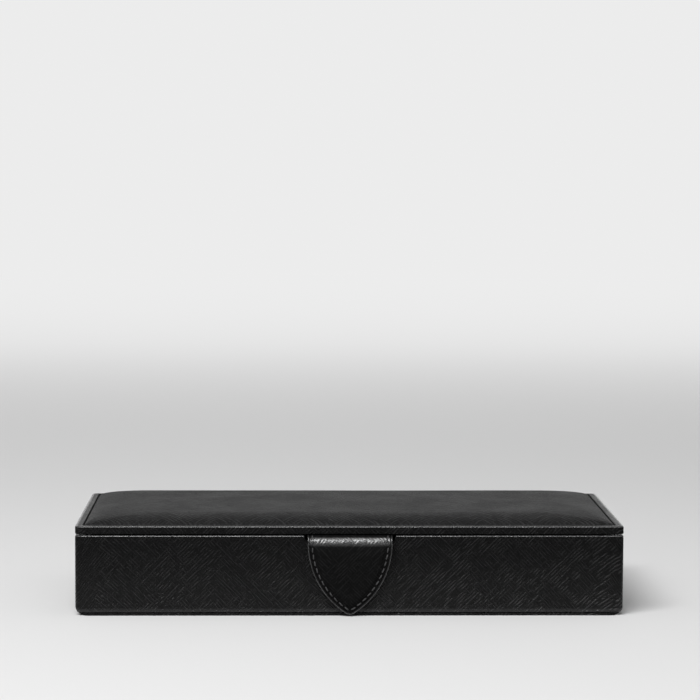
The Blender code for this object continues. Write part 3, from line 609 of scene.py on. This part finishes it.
# Inside: wall linings, slotted dividers, a padded floor and the lid's padded lining
LONG_LOW, LONG_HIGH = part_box("long_divider")
CROSS_NAMES = [f"cross_divider_{number}" for number in range(1, 6)]
CROSS_PLACES = [(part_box(name)[0].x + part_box(name)[1].x) / 2 for name in CROSS_NAMES]
FLOOR_LOW, FLOOR_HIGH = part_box("floor_pad")
INNER_LOW, INNER_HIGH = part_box("lid_lining")
LINING_THICK = LINING_HIGH.y - LINING_LOW.y
SLOT_HALF = 1.5 * MM
SLOT_PLAY = 0.3 * MM
SLOT_END = 0.03 * MM
CUSHION_RISE = 1.3 * MM
PANEL_CROWN = 0.5 * MM
PANEL_CHANNEL = 7 * MM


def wall_lining(material):
    """Suede over card round the inside: a thin wall with a rounded top, let down at the notch."""
    inset = LINING_LOW.y + HALF_Y
    foot, top, half = LINING_LOW.z, LINING_HIGH.z, LINING_THICK / 2
    over = arc((inset + half, top - half), half, 180, 0, 10)
    inner = [(inset + 2 * half, foot + (top - half - foot) * part) for part in (0.75, 0.5, 0.25, 0)]
    profile = np.concatenate([[(inset, foot)], over, inner])
    stops = box_stops(*BOX, 4 * MM, notch_fine(9))
    points = rounded_ring(*BOX, profile[:, 0], profile[:, 1], stops)
    near_top = np.clip((points[..., 2] - (top - 4 * MM)) / (4 * MM - half), 0, 1)
    points[..., 2] -= notch_dip(points) * near_top
    piece = skin("wall_lining", points, close_u=True, close_v=True)
    nodes = [f"{side}_lining" for side in ("front", "rear", "left", "right")]
    return finish_piece(piece, material, "suede", "case", *nodes, sharp=50)


def divider(name, material, low, high, slots, from_top):
    """A suede-covered divider: a card with a rounded top, carried along and stepped at its slots.

    Inside a slot the rounded top drops to the slot's floor, or the foot is raised to its ceiling.
    """
    along = 0 if high.x - low.x > high.y - low.y else 1
    half = (high[1 - along] - low[1 - along]) / 2
    middle = (high[1 - along] + low[1 - along]) / 2
    ease = 0.25 * MM
    over = arc((0, high.z - half), half, 180, 0, 12)
    foot = [(half, low.z + ease), (half - ease, low.z), (ease - half, low.z), (-half, low.z + ease)]
    profile = np.concatenate([over, foot])
    ends = [side * SLOT_HALF + step for side in (-1, 1) for step in (-SLOT_END, SLOT_END)]
    steps = [place + end for place in slots for end in ends]
    run = np.unique(np.concatenate([np.linspace(low[along], high[along], 52), steps]))
    inside = sum(abs(run - place) < SLOT_HALF for place in slots)[:, None]
    level = (low.z + high.z) / 2 + (SLOT_PLAY if not from_top else -SLOT_PLAY)
    upper = np.arange(len(profile)) < len(over)
    moved = (level - high.z) * upper if from_top else (level - low.z) * ~upper
    across = np.broadcast_to(middle + profile[:, 0], (len(run), len(profile)))
    height = profile[:, 1] + inside * moved
    carried = np.broadcast_to(run[:, None], across.shape)
    parts = (carried, across) if along == 0 else (across, carried)
    piece = skin(name + "_suede", np.stack([*parts, height], -1), close_v=True, fill=True)
    return finish_piece(piece, material, "suede", "case", name, sharp=50)


def floor_cushion(material):
    """The padded floor: one suede sheet over foam, held down under the dividers and swelling between.

    Over each compartment the rise is CUSHION_RISE times (1 - |a| ** 3) (1 - |b| ** 3) to a power of
    0.7, with a and b from -1 to 1 across it.
    """
    half_x, half_y = FLOOR_HIGH.x, FLOOR_HIGH.y
    walls = np.array([-half_x, *CROSS_PLACES, half_x])
    x = np.concatenate([np.linspace(a, b, 30)[:-1] for a, b in zip(walls, walls[1:])] + [[half_x]])
    y = np.concatenate([np.linspace(-half_y, 0, 34)[:-1], np.linspace(0, half_y, 34)])
    cell = np.clip(np.searchsorted(walls, x, side="right") - 1, 0, len(walls) - 2)
    a = 2 * (x - walls[cell]) / (walls[cell + 1] - walls[cell]) - 1
    b = 2 * abs(y) / half_y - 1
    swell = np.clip((1 - abs(a[:, None]) ** 3) * (1 - abs(b) ** 3), 0, 1) ** 0.7
    sag = 0.12 * MM * np.sin(x[:, None] / (9 * MM) + 3 * cell[:, None]) * np.cos(y / (8 * MM)) * swell
    top = FLOOR_HIGH.z + CUSHION_RISE * swell + sag
    right = np.array([(half_y + 0.001 * MM, FLOOR_LOW.z + 0.3 * MM), (half_y - 0.3 * MM, FLOOR_LOW.z)])
    side = np.concatenate([right, right[::-1] * (-1, 1)])
    across = np.concatenate([y, side[:, 0]])
    height = np.concatenate([top, np.broadcast_to(side[:, 1], (len(x), len(side)))], axis=1)
    grids = np.broadcast_arrays(x[:, None], across[None, :], height)
    piece = skin("floor_cushion", np.stack(grids, -1), close_v=True, fill=True)
    return finish_piece(piece, material, "suede", "case", "floor_pad", sharp=60)


def lid_panel(material):
    """The lid's padded lining: rings from the middle of its hidden side round the edge and over its face.

    The face swells by a quarter sine of its run from the edge, with a pressed channel all round.
    """
    inset = INNER_LOW.x + HALF_X
    middle = HALF_Y - inset
    radius = 0.9 * MM
    rim = INNER_LOW.z + 0.35 * MM
    edge = arc((radius, rim + radius), radius, 180, 270, 7)
    run = np.concatenate([np.linspace(radius, 12 * MM, 34)[1:], np.linspace(12 * MM, middle, 14)[1:]])
    channel = 0.3 * MM * np.exp(-(((run - PANEL_CHANNEL) / (0.55 * MM)) ** 2))
    face = rim - PANEL_CROWN * np.sin(np.pi / 2 * run / middle) + channel
    top = INNER_HIGH.z
    hidden = [(middle, top), (8 * MM, top), (0.2 * MM, top), (0, top - 0.2 * MM)]
    profile = np.concatenate([hidden, edge, np.stack([run, face], 1)])
    corner = np.minimum(1.2 * MM + 0.2 * profile[:, 0], middle - profile[:, 0])
    stops = box_stops(*BOX, 5 * MM)
    points = rounded_ring(*BOX, inset + profile[:, 0], profile[:, 1], stops, corner, power=1)
    ring = np.concatenate([points, points[:1]])
    piece = skin("lid_panel", points, close_u=True, uv=ring[..., :2] / MM)
    return finish_piece(piece, material, "suede", "lid", "lid_lining", sharp=60)


# Hinges: two brass butt hinges, each with a plate to the case and to the lid, knuckles, a pin and screws
PIN_LOW, PIN_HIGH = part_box("hinge_pin_left")
HINGE_Y, HINGE_Z = (PIN_LOW.y + PIN_HIGH.y) / 2, (PIN_LOW.z + PIN_HIGH.z) / 2
PIN_RADIUS = (PIN_HIGH.z - PIN_LOW.z) / 2
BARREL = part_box("case_leaf_left")[1].y - HINGE_Y
PLATE_THICK = 0.9 * MM
PLATE_BACK = HALF_Y + 0.1 * MM
KNUCKLE = 7.6 * MM
KNUCKLE_GAP = 0.3 * MM
HEAD_RADIUS = 1.3 * MM
HEAD_RISE = 0.22 * MM
HEAD_SLOT = 0.2 * MM


def brass_plate(name, material, node_name, body, low, spans):
    """A hinge's plate: rings from the middle of its foot round its eased edge and over its top.

    Along each span, a pair of places along the hinge, its back edge reaches on to the pin.
    """
    leaf_low, leaf_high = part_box(node_name)
    high, reach_in = low + PLATE_THICK, 0.9 * MM
    half = ((leaf_high.x - leaf_low.x) / 2, (PLATE_BACK - leaf_low.y) / 2)
    centre = np.array([(leaf_high.x + leaf_low.x) / 2, (PLATE_BACK + leaf_low.y) / 2, 0])
    ease = 0.15 * MM
    edge = [arc((ease, low + ease), ease, 270, 180, 3), arc((ease, high - ease), ease, 180, 90, 3)]
    foot, top = [(half[1], low), (reach_in, low)], [(reach_in, high), (half[1], high)]
    profile = np.concatenate([foot, *edge, top])
    corner = np.minimum(np.maximum(0.7 * MM - profile[:, 0], 0.3 * MM), half[1] - profile[:, 0])
    slope = 0.04 * MM
    fine = [(end, slope, 3) for span in spans for end in span]
    stops = box_stops(half, 0.7 * MM, 1.5 * MM, (), fine)
    points = rounded_ring(half, 0.7 * MM, profile[:, 0], profile[:, 1], stops, corner, power=1, steps=6)
    reach = sum(ramp(points[..., 0] - (a + b) / 2, (b - a) / 2 - slope, slope) for a, b in spans)
    points[..., 1] += (HINGE_Y - PLATE_BACK) * reach * (points[..., 1] > half[1] - 1.0 * MM)
    piece = skin(name, points + centre, close_u=True)
    return finish_piece(piece, material, "brass", body, node_name, sharp=30)


def turned_brass(name, material, body, profile, *nodes, around=48):
    """A turned piece on the hinge's pin: a closed profile of places along X and radii, spun about it."""
    angle = 2 * np.pi * np.arange(around) / around
    along = np.broadcast_to(profile[:, 0], (around, len(profile)))
    y = HINGE_Y + np.cos(angle)[:, None] * profile[:, 1]
    z = HINGE_Z + np.sin(angle)[:, None] * profile[:, 1]
    piece = skin(name, np.stack([along, y, z], -1), close_u=True)
    return finish_piece(piece, material, "brass", body, *nodes, sharp=30)


def knuckle(name, material, body, start, end):
    """A hinge's knuckle: a tube with rounded rims."""
    rim = 0.22 * MM
    left = arc((start + rim, BARREL - rim), rim, 180, 90, 4)
    right = arc((end - rim, BARREL - rim), rim, 90, 0, 4)
    profile = np.concatenate([[(start, 0)], left, right, [(end, 0)]])
    return turned_brass(name, material, body, profile)


def pin(name, material):
    """A hinge's pin with a low dome on each end."""
    low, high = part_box(name)
    dome = np.radians(np.linspace(0, 90, 8))
    right = np.stack([high.x - 0.3 * MM + 0.3 * MM * np.cos(dome), PIN_RADIUS * np.sin(dome)], 1)[::-1]
    left = np.stack([low.x + 0.3 * MM - 0.3 * MM * np.cos(dome), PIN_RADIUS * np.sin(dome)], 1)
    return turned_brass(name + "_brass", material, "case", np.concatenate([left, right]), name)


def screw_head(name, material, body, x, y, face, way):
    """A raised slotted head on a hinge's plate: a low dome over a disc, cut across by a slot.

    Rows run along the slot, and each is as wide as the disc there; the dome falls with the square of
    the distance from the middle.
    """
    lip = np.linspace(0.16, 1, 12)
    across = np.concatenate([-lip[::-1], np.linspace(-0.13, 0.13, 5), lip])
    along = np.linspace(-1, 1, 21)
    wide = np.sqrt(np.clip(1 - across**2, 0, 1))[:, None]
    flat_x = HEAD_RADIUS * wide * along
    flat_y = np.broadcast_to(HEAD_RADIUS * across[:, None], flat_x.shape)
    rise = HEAD_RISE * (1 - 0.45 * (flat_x**2 + flat_y**2) / HEAD_RADIUS**2)
    rise -= HEAD_SLOT * (abs(across) < 0.15)[:, None]
    under = np.full(flat_x.shape, -0.3 * MM)
    turn = math.radians(37 + 1000 * (x + face))
    u = np.concatenate([flat_x, flat_x[:, ::-1]], axis=1)
    v = np.concatenate([flat_y, flat_y], axis=1)
    height = np.concatenate([rise, under], axis=1)
    spun = (x + u * math.cos(turn) - v * math.sin(turn), y + u * math.sin(turn) + v * math.cos(turn))
    piece = skin(name, np.stack([*spun, face + way * height], -1), close_v=True)
    return finish_piece(piece, material, "brass", body, sharp=30)


def hinges(material):
    """Both hinges; the plates and knuckles stand for the leaves, and the screws keep their shanks."""
    for side, (centre, half) in zip(("left", "right"), hinge_places()):
        outer = [(-half, KNUCKLE - half), (half - KNUCKLE, half)]
        inner = half - KNUCKLE - KNUCKLE_GAP
        case_low = CASE_TOP - PLATE_THICK
        brass_plate(f"case_plate_{side}", material, f"case_leaf_{side}", "case", case_low, outer)
        brass_plate(f"lid_plate_{side}", material, f"lid_leaf_{side}", "lid", LID_FOOT, [(-inner, inner)])
        for end, (start, stop) in zip("ab", outer):
            knuckle(f"case_knuckle_{side}_{end}", material, "case", centre + start, centre + stop)
        knuckle(f"lid_knuckle_{side}", material, "lid", centre - inner, centre + inner)
        pin(f"hinge_pin_{side}", material)
        for end in "ab":
            for body, face, way in (("case", CASE_TOP, 1), ("lid", LID_FOOT, -1)):
                low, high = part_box(f"{body}_screw_{side}_{end}")
                place = ((low.x + high.x) / 2, (low.y + high.y) / 2)
                screw_head(f"{body}_screw_head_{side}_{end}", material, body, *place, face, way)


# Finishes
LEATHER = (0.003, 0.003, 0.0031)


def start_finish(name, colour, roughness, **sockets):
    """A new material with its shader set, as (material, tree, shader)."""
    made = bpy.data.materials.new(name)
    made.use_nodes = True
    shader = made.node_tree.nodes["Principled BSDF"]
    shader.inputs["Base Color"].default_value = (*colour, 1)
    shader.inputs["Roughness"].default_value = roughness
    for socket, value in sockets.items():
        shader.inputs[socket.replace("_", " ")].default_value = value
    return made, made.node_tree, shader


def node(tree, kind, inputs=None, **settings):
    """A node with its settings made and its inputs set or linked; returns its first output."""
    made = tree.nodes.new(f"ShaderNode{kind}")
    for key, value in settings.items():
        setattr(made, key, value)
    for key, value in (inputs or {}).items():
        if isinstance(value, bpy.types.NodeSocket):
            tree.links.new(value, made.inputs[key])
        else:
            made.inputs[key].default_value = value
    return made.outputs[0]


def math_node(tree, operation, first, second=0.0, clamp=False):
    return node(tree, "Math", {0: first, 1: second}, operation=operation, use_clamp=clamp)


def noise(tree, vector, scale, detail=2.0, roughness=0.5):
    """Noise of so many bumps to a millimetre."""
    settings = {"Vector": vector, "Scale": scale, "Detail": detail, "Roughness": roughness}
    return node(tree, "TexNoise", settings)


def spread(tree, value, low, high, to_low=0.0, to_high=1.0):
    """value taken from low..high to to_low..to_high, smoothly and held at the ends."""
    settings = {"Value": value, 1: low, 2: high, 3: to_low, 4: to_high}
    return node(tree, "MapRange", settings, interpolation_type="SMOOTHSTEP")


def millimetres(tree, flat):
    """The flat material's millimetres from the UV map, or else the object's own."""
    if flat:
        return node(tree, "UVMap", uv_map="flat")
    coords = tree.nodes.new("ShaderNodeTexCoord").outputs["Object"]
    return node(tree, "VectorMath", {0: coords, "Scale": 1 / MM}, operation="SCALE")


def relief(tree, shader, height, depth, strength=1.0):
    """Bumps the shader's surface by a height from 0 to 1, depth metres deep."""
    settings = {"Height": height, "Distance": depth, "Strength": strength}
    tree.links.new(node(tree, "Bump", settings), shader.inputs["Normal"])


def two_tones(tree, colour, shares, amount):
    """A colour that goes from one share of itself to another as amount goes from 0 to 1."""
    dark, light = (tuple(value * share for value in colour) + (1,) for share in shares)
    return node(tree, "Mix", {0: amount, 6: dark, 7: light}, data_type="RGBA").node.outputs[2]


def grained_leather(
    name, roughness, ior, pitch, depth, pebbles, polished, polished_grain, painted_highlight=LEATHER, contrast=0.9
):
    """Black leather pressed with two crossing sets of fine straight diagonal ridges, broken into dashes.

    The ridges are waves turned 45 degrees either way, cut along their length by noise, and each set
    leads in patches of its own. Pebbles, raised specks and small pits lie over them. The colour is
    lighter on the raised grain and darker in its furrows, a painted highlight and painted shade. Where
    the attribute polish rises to 1 the roughness is polished, the grain is polished_grain of its depth
    and the colour goes towards a lighter one, a painted highlight, and where it falls to -1 the
    surface is dull.
    """
    made, tree, shader = start_finish(name, LEATHER, roughness, IOR=ior)
    place = millimetres(tree, True)
    wander = node(tree, "TexNoise", {"Vector": place, "Scale": 0.06, "Detail": 2.0}).node.outputs["Color"]
    shift = node(tree, "VectorMath", {0: wander, 1: (0.5, 0.5, 0.5)}, operation="SUBTRACT")
    shift = node(tree, "VectorMath", {0: shift, "Scale": 0.9}, operation="SCALE")
    bent = node(tree, "VectorMath", {0: place, 1: shift}, operation="ADD")
    patch = noise(tree, place, 0.07, 2.0)
    ridges = []
    for turn, low, high in ((45, 0.42, 0.58), (-45, 0.58, 0.42)):
        turned = node(tree, "Mapping", {"Vector": bent, "Rotation": (0, 0, math.radians(turn))})
        bands = node(tree, "TexWave", {"Vector": turned, "Scale": 0.3142 / pitch}).node.outputs["Fac"]
        dashes = node(tree, "Mapping", {"Vector": turned, "Scale": (0.9 / pitch, 0.22 / pitch, 1)})
        broken = spread(tree, noise(tree, dashes, 1.0, 2.0, 0.6), 0.4, 0.62, 0.05, 1.0)
        shown = math_node(tree, "MULTIPLY", math_node(tree, "POWER", bands, 1.5), broken)
        ridges.append(math_node(tree, "MULTIPLY", shown, spread(tree, patch, low, high, 0.25, 1.0)))
    ridge = math_node(tree, "MAXIMUM", *ridges)
    grains = noise(tree, place, 2.6 / pitch, 2.0)
    specks = spread(tree, noise(tree, place, 1.5 / pitch, 1.0), 0.64, 0.74)
    pits = spread(tree, noise(tree, bent, 1.3 / pitch, 1.0), 0.36, 0.26)
    marks = math_node(tree, "SUBTRACT", specks, pits)
    polish = tree.nodes.new("ShaderNodeAttribute")
    polish.attribute_name = "polish"
    polish = polish.outputs["Fac"]
    height = math_node(tree, "ADD", ridge, math_node(tree, "MULTIPLY", grains, pebbles))
    height = math_node(tree, "ADD", height, math_node(tree, "MULTIPLY", marks, 0.45))
    kept = spread(tree, polish, 0, 1, 1.0, polished_grain)
    relief(tree, shader, math_node(tree, "MULTIPLY", height, kept), depth)
    worn = spread(tree, noise(tree, place, 0.05, 3.0), 0.3, 0.7, roughness - 0.03, roughness + 0.04)
    shine = math_node(tree, "SUBTRACT", worn, math_node(tree, "MULTIPLY", height, 0.06))
    mixed = node(tree, "Mix", {0: polish, 2: shine, 3: polished})
    dulled = node(tree, "Mix", {0: math_node(tree, "MULTIPLY", polish, -1.0), 2: mixed, 3: 0.9})
    tree.links.new(dulled, shader.inputs["Roughness"])
    raised = spread(tree, height, 0, 1.3, 0.75, 1.6)
    level = math_node(tree, "MULTIPLY", spread(tree, polish, -1, 1, 0.0, 1.0), raised)
    tree.links.new(level, shader.inputs["Specular IOR Level"])
    # Painted light: the raised grain is coloured lighter and its furrows darker, a painted highlight and
    # painted shade on the grain.
    painted_grain_shading = two_tones(tree, LEATHER, (1 - contrast, 1 + 2 * contrast), spread(tree, height, 0.0, 1.2))
    # Painted highlight: where polish is above nought the colour is mixed towards a lighter one.
    highlighted_colour = node(tree, "Mix", {0: polish, 6: painted_grain_shading, 7: (*painted_highlight, 1)}, data_type="RGBA")
    tree.links.new(highlighted_colour.node.outputs[2], shader.inputs["Base Color"])
    return made


def suede(name, colour):
    """Napped suede: a matt, mottled colour with a sheen and a fine soft pile."""
    made, tree, shader = start_finish(name, colour, 0.95, IOR=1.3)
    shader.inputs["Sheen Weight"].default_value = 0.35
    shader.inputs["Sheen Roughness"].default_value = 0.55
    place = millimetres(tree, True)
    brushed = math_node(tree, "MULTIPLY", noise(tree, place, 0.09, 3.0), 0.6)
    pile = noise(tree, place, 4.5, 2.0, 0.7)
    amount = spread(tree, math_node(tree, "ADD", brushed, math_node(tree, "MULTIPLY", pile, 0.4)), 0.3, 0.7)
    tree.links.new(two_tones(tree, colour, (0.55, 1.4), amount), shader.inputs["Base Color"])
    relief(tree, shader, pile, 0.06 * MM)
    return made


def brushed_metal(name, colour, roughness, depth):
    """Metal with fine brush lines and slightly uneven polish."""
    made, tree, shader = start_finish(name, colour, roughness, Metallic=1.0)
    place = millimetres(tree, False)
    lines = node(tree, "Mapping", {"Vector": place, "Scale": (0.4, 9.0, 9.0)})
    brushed = noise(tree, lines, 1.0, 2.0)
    relief(tree, shader, brushed, depth)
    polish = spread(tree, noise(tree, place, 0.4, 3.0), 0.3, 0.7, roughness - 0.06, roughness + 0.08)
    tree.links.new(polish, shader.inputs["Roughness"])
    return made


def speckled(name, colour, roughness, scale, contrast, depth):
    """A dull, finely speckled stuff such as board."""
    made, tree, shader = start_finish(name, colour, roughness)
    place = millimetres(tree, False)
    specks = noise(tree, place, scale, 4.0, 0.65)
    mottled = two_tones(tree, colour, (1 - contrast, 1 + contrast), spread(tree, specks, 0.35, 0.65))
    tree.links.new(mottled, shader.inputs["Base Color"])
    relief(tree, shader, specks, depth)
    return made


def thread_finish(name, colour):
    """Waxed thread: a soft sheen and the slanting ridges of its twist, read along the flat map."""
    made, tree, shader = start_finish(name, colour, 0.55)
    place = millimetres(tree, True)
    slanted = node(tree, "Mapping", {"Vector": place, "Rotation": (0, 0, math.radians(35))})
    twist = node(tree, "TexWave", {"Vector": slanted, "Scale": 1.1}).node.outputs["Fac"]
    relief(tree, shader, twist, 0.05 * MM)
    tree.links.new(two_tones(tree, colour, (0.6, 1.25), twist), shader.inputs["Base Color"])
    return made


# The box
# Painted highlights: lighter leather colours where the leather shines, one for the case's mouth and foot
# and the lid's rim, one for the tongue's bend and rim.
PAINTED_EDGE_HIGHLIGHT = (0.05, 0.05, 0.051)
PAINTED_BEND_HIGHLIGHT = (0.02, 0.02, 0.0205)
body_leather = grained_leather(
    "cross_grained_leather",
    roughness=0.36,
    ior=1.35,
    pitch=1.1,
    depth=0.48 * MM,
    pebbles=0.4,
    polished=0.17,
    painted_highlight=PAINTED_EDGE_HIGHLIGHT,
    polished_grain=0.14,
)
pad_grain = grained_leather(
    "pad_leather",
    roughness=0.56,
    ior=1.29,
    pitch=1.3,
    depth=0.24 * MM,
    pebbles=0.9,
    polished=0.3,
    polished_grain=1.0,
)
plain_leather = grained_leather(
    "tongue_leather",
    roughness=0.42,
    ior=1.6,
    pitch=1.0,
    depth=0.07 * MM,
    contrast=0.5,
    pebbles=0.6,
    polished=0.2,
    painted_highlight=PAINTED_BEND_HIGHLIGHT,
    polished_grain=2.0,
)
grey_thread = thread_finish("grey_thread", (0.045, 0.045, 0.046))
grey_suede = suede("charcoal_suede", (0.035, 0.035, 0.038))
brass = brushed_metal("brass", (0.52, 0.4, 0.22), 0.38, 0.004 * MM)
steel = brushed_metal("steel", (0.55, 0.56, 0.58), 0.3, 0.004 * MM)
board = speckled("grey_board", (0.28, 0.27, 0.26), 0.9, 1.6, 0.2, 0.03 * MM)

case_leather(body_leather)
lid_leather(body_leather)
pad_leather(pad_grain)
base_leather(body_leather)
tongue_leather(plain_leather)
tongue_stitches(grey_thread)
wall_lining(grey_suede)
divider("long_divider", grey_suede, LONG_LOW, LONG_HIGH, CROSS_PLACES, True)
for cross_name in CROSS_NAMES:
    divider(cross_name, grey_suede, *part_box(cross_name), [0.0], False)
floor_cushion(grey_suede)
lid_panel(grey_suede)
hinges(brass)

SCREWS = [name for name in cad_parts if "_screw_" in name]
BOARDS = ["front_board", "rear_board", "left_board", "right_board", "base_board", "base_card", "lid_board"]
BURIED = ((board, BOARDS + ["tab_stiffener"]), (steel, ["striker_disc", "tab_magnet"]), (brass, SCREWS))
for finish, names in BURIED:
    for name in names:
        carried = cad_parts[name].data.materials
        carried.clear()
        carried.append(finish)


# The room: a pale floor that turns up into a pale backdrop, soft light from above, and the camera
def show_room():
    """Floor and backdrop in one sweep: flat, then a quarter round of SWEEP radius behind the box."""
    turn = arc((0, SWEEP), SWEEP, -90, 0, 32)
    run = np.concatenate([[(-5.0, 0.0)], turn + (1.2, 0), [(1.2 + SWEEP, 5.0)]])
    width = np.array([-7.0, 7.0])
    points = np.stack(np.broadcast_arrays(width[:, None], run[None, :, 0], run[None, :, 1]), -1)
    sweep = skin("floor", points, weld=False)
    made, tree, shader = start_finish("pale_floor", (0.74, 0.74, 0.74), 0.85)
    place = tree.nodes.new("ShaderNodeTexCoord").outputs["Object"]
    place = node(tree, "SeparateXYZ", {0: place}).node.outputs
    far = spread(tree, place["Y"], 0.25, 1.6)
    # The backdrop's glow is full low down and falls to about a third high up: painted shade, darker towards
    # the top.
    low = spread(tree, place["Z"], 0.7, 2.6, 1.0, 0.35)
    path = tree.nodes.new("ShaderNodeLightPath").outputs
    seen = math_node(tree, "MAXIMUM", path["Is Camera Ray"], path["Is Glossy Ray"])
    glow = node(tree, "Emission", {"Color": (BACKDROP, BACKDROP, BACKDROP, 1), "Strength": low})
    share = math_node(tree, "MULTIPLY", seen, far)
    whole = node(tree, "MixShader", {0: share, 1: shader.outputs[0], 2: glow})
    tree.links.new(whole, tree.nodes["Material Output"].inputs["Surface"])
    sweep.data.materials.append(made)


def soft_light(name, place, aim, size, power):
    """An area light at a place, turned to its aim."""
    lamp = bpy.data.lights.new(name, "AREA")
    lamp.shape = "RECTANGLE"
    lamp.size, lamp.size_y = size
    lamp.energy = power
    held = bpy.data.objects.new(name, lamp)
    bpy.context.scene.collection.objects.link(held)
    held.location = place
    held.rotation_euler = (Vector(aim) - Vector(place)).to_track_quat("-Z", "Y").to_euler()


def set_camera():
    """The camera at the photograph's view: pan, pitch and roll fitted to the box's edges."""
    pan, pitch, roll = (math.radians(angle) for angle in CAMERA_TURN)
    ahead = Vector((math.sin(pan) * math.cos(pitch), math.cos(pan) * math.cos(pitch), -math.sin(pitch)))
    level = Vector((math.cos(pan), -math.sin(pan), 0))
    upright = level.cross(ahead)
    right = level * math.cos(roll) + upright * math.sin(roll)
    up = upright * math.cos(roll) - level * math.sin(roll)
    lens = bpy.data.cameras.new("camera")
    lens.lens, lens.sensor_width = LENS, SENSOR
    held = bpy.data.objects.new("camera", lens)
    bpy.context.scene.collection.objects.link(held)
    turned = Matrix((right, up, -ahead)).transposed().to_4x4()
    held.matrix_world = Matrix.Translation(CAMERA_PLACE) @ turned
    bpy.context.scene.camera = held


def set_world(low, high):
    """A world that is dim at eye level and brighter overhead, alike all round."""
    world = bpy.data.worlds.new("room")
    bpy.context.scene.world = world
    world.use_nodes = True
    tree = world.node_tree
    way = tree.nodes.new("ShaderNodeTexCoord").outputs["Generated"]
    rise = node(tree, "SeparateXYZ", {0: way}).node.outputs["Z"]
    tree.links.new(spread(tree, rise, 0.0, 0.7, low, high), tree.nodes["Background"].inputs["Strength"])
    tree.nodes["Background"].inputs["Color"].default_value = (1, 1, 1, 1)


SWEEP = 1.8
BACKDROP = 0.84
CAMERA_PLACE = (-0.0264, -1.0364, 0.1846)
CAMERA_TURN = (1.508, 4.627, 0.236)
LENS = 131.3
SENSOR = 36
LIGHT_PLACE = (-0.45, -1.0, 1.45)
LIGHT_SIZE = (1.3, 0.7)
LIGHT_POWER = 32
show_room()
set_world(0.06, 0.4)
soft_light("front", LIGHT_PLACE, (0, 0, 0), LIGHT_SIZE, LIGHT_POWER)
set_camera()
bpy.context.scene.view_settings.view_transform = "Standard"
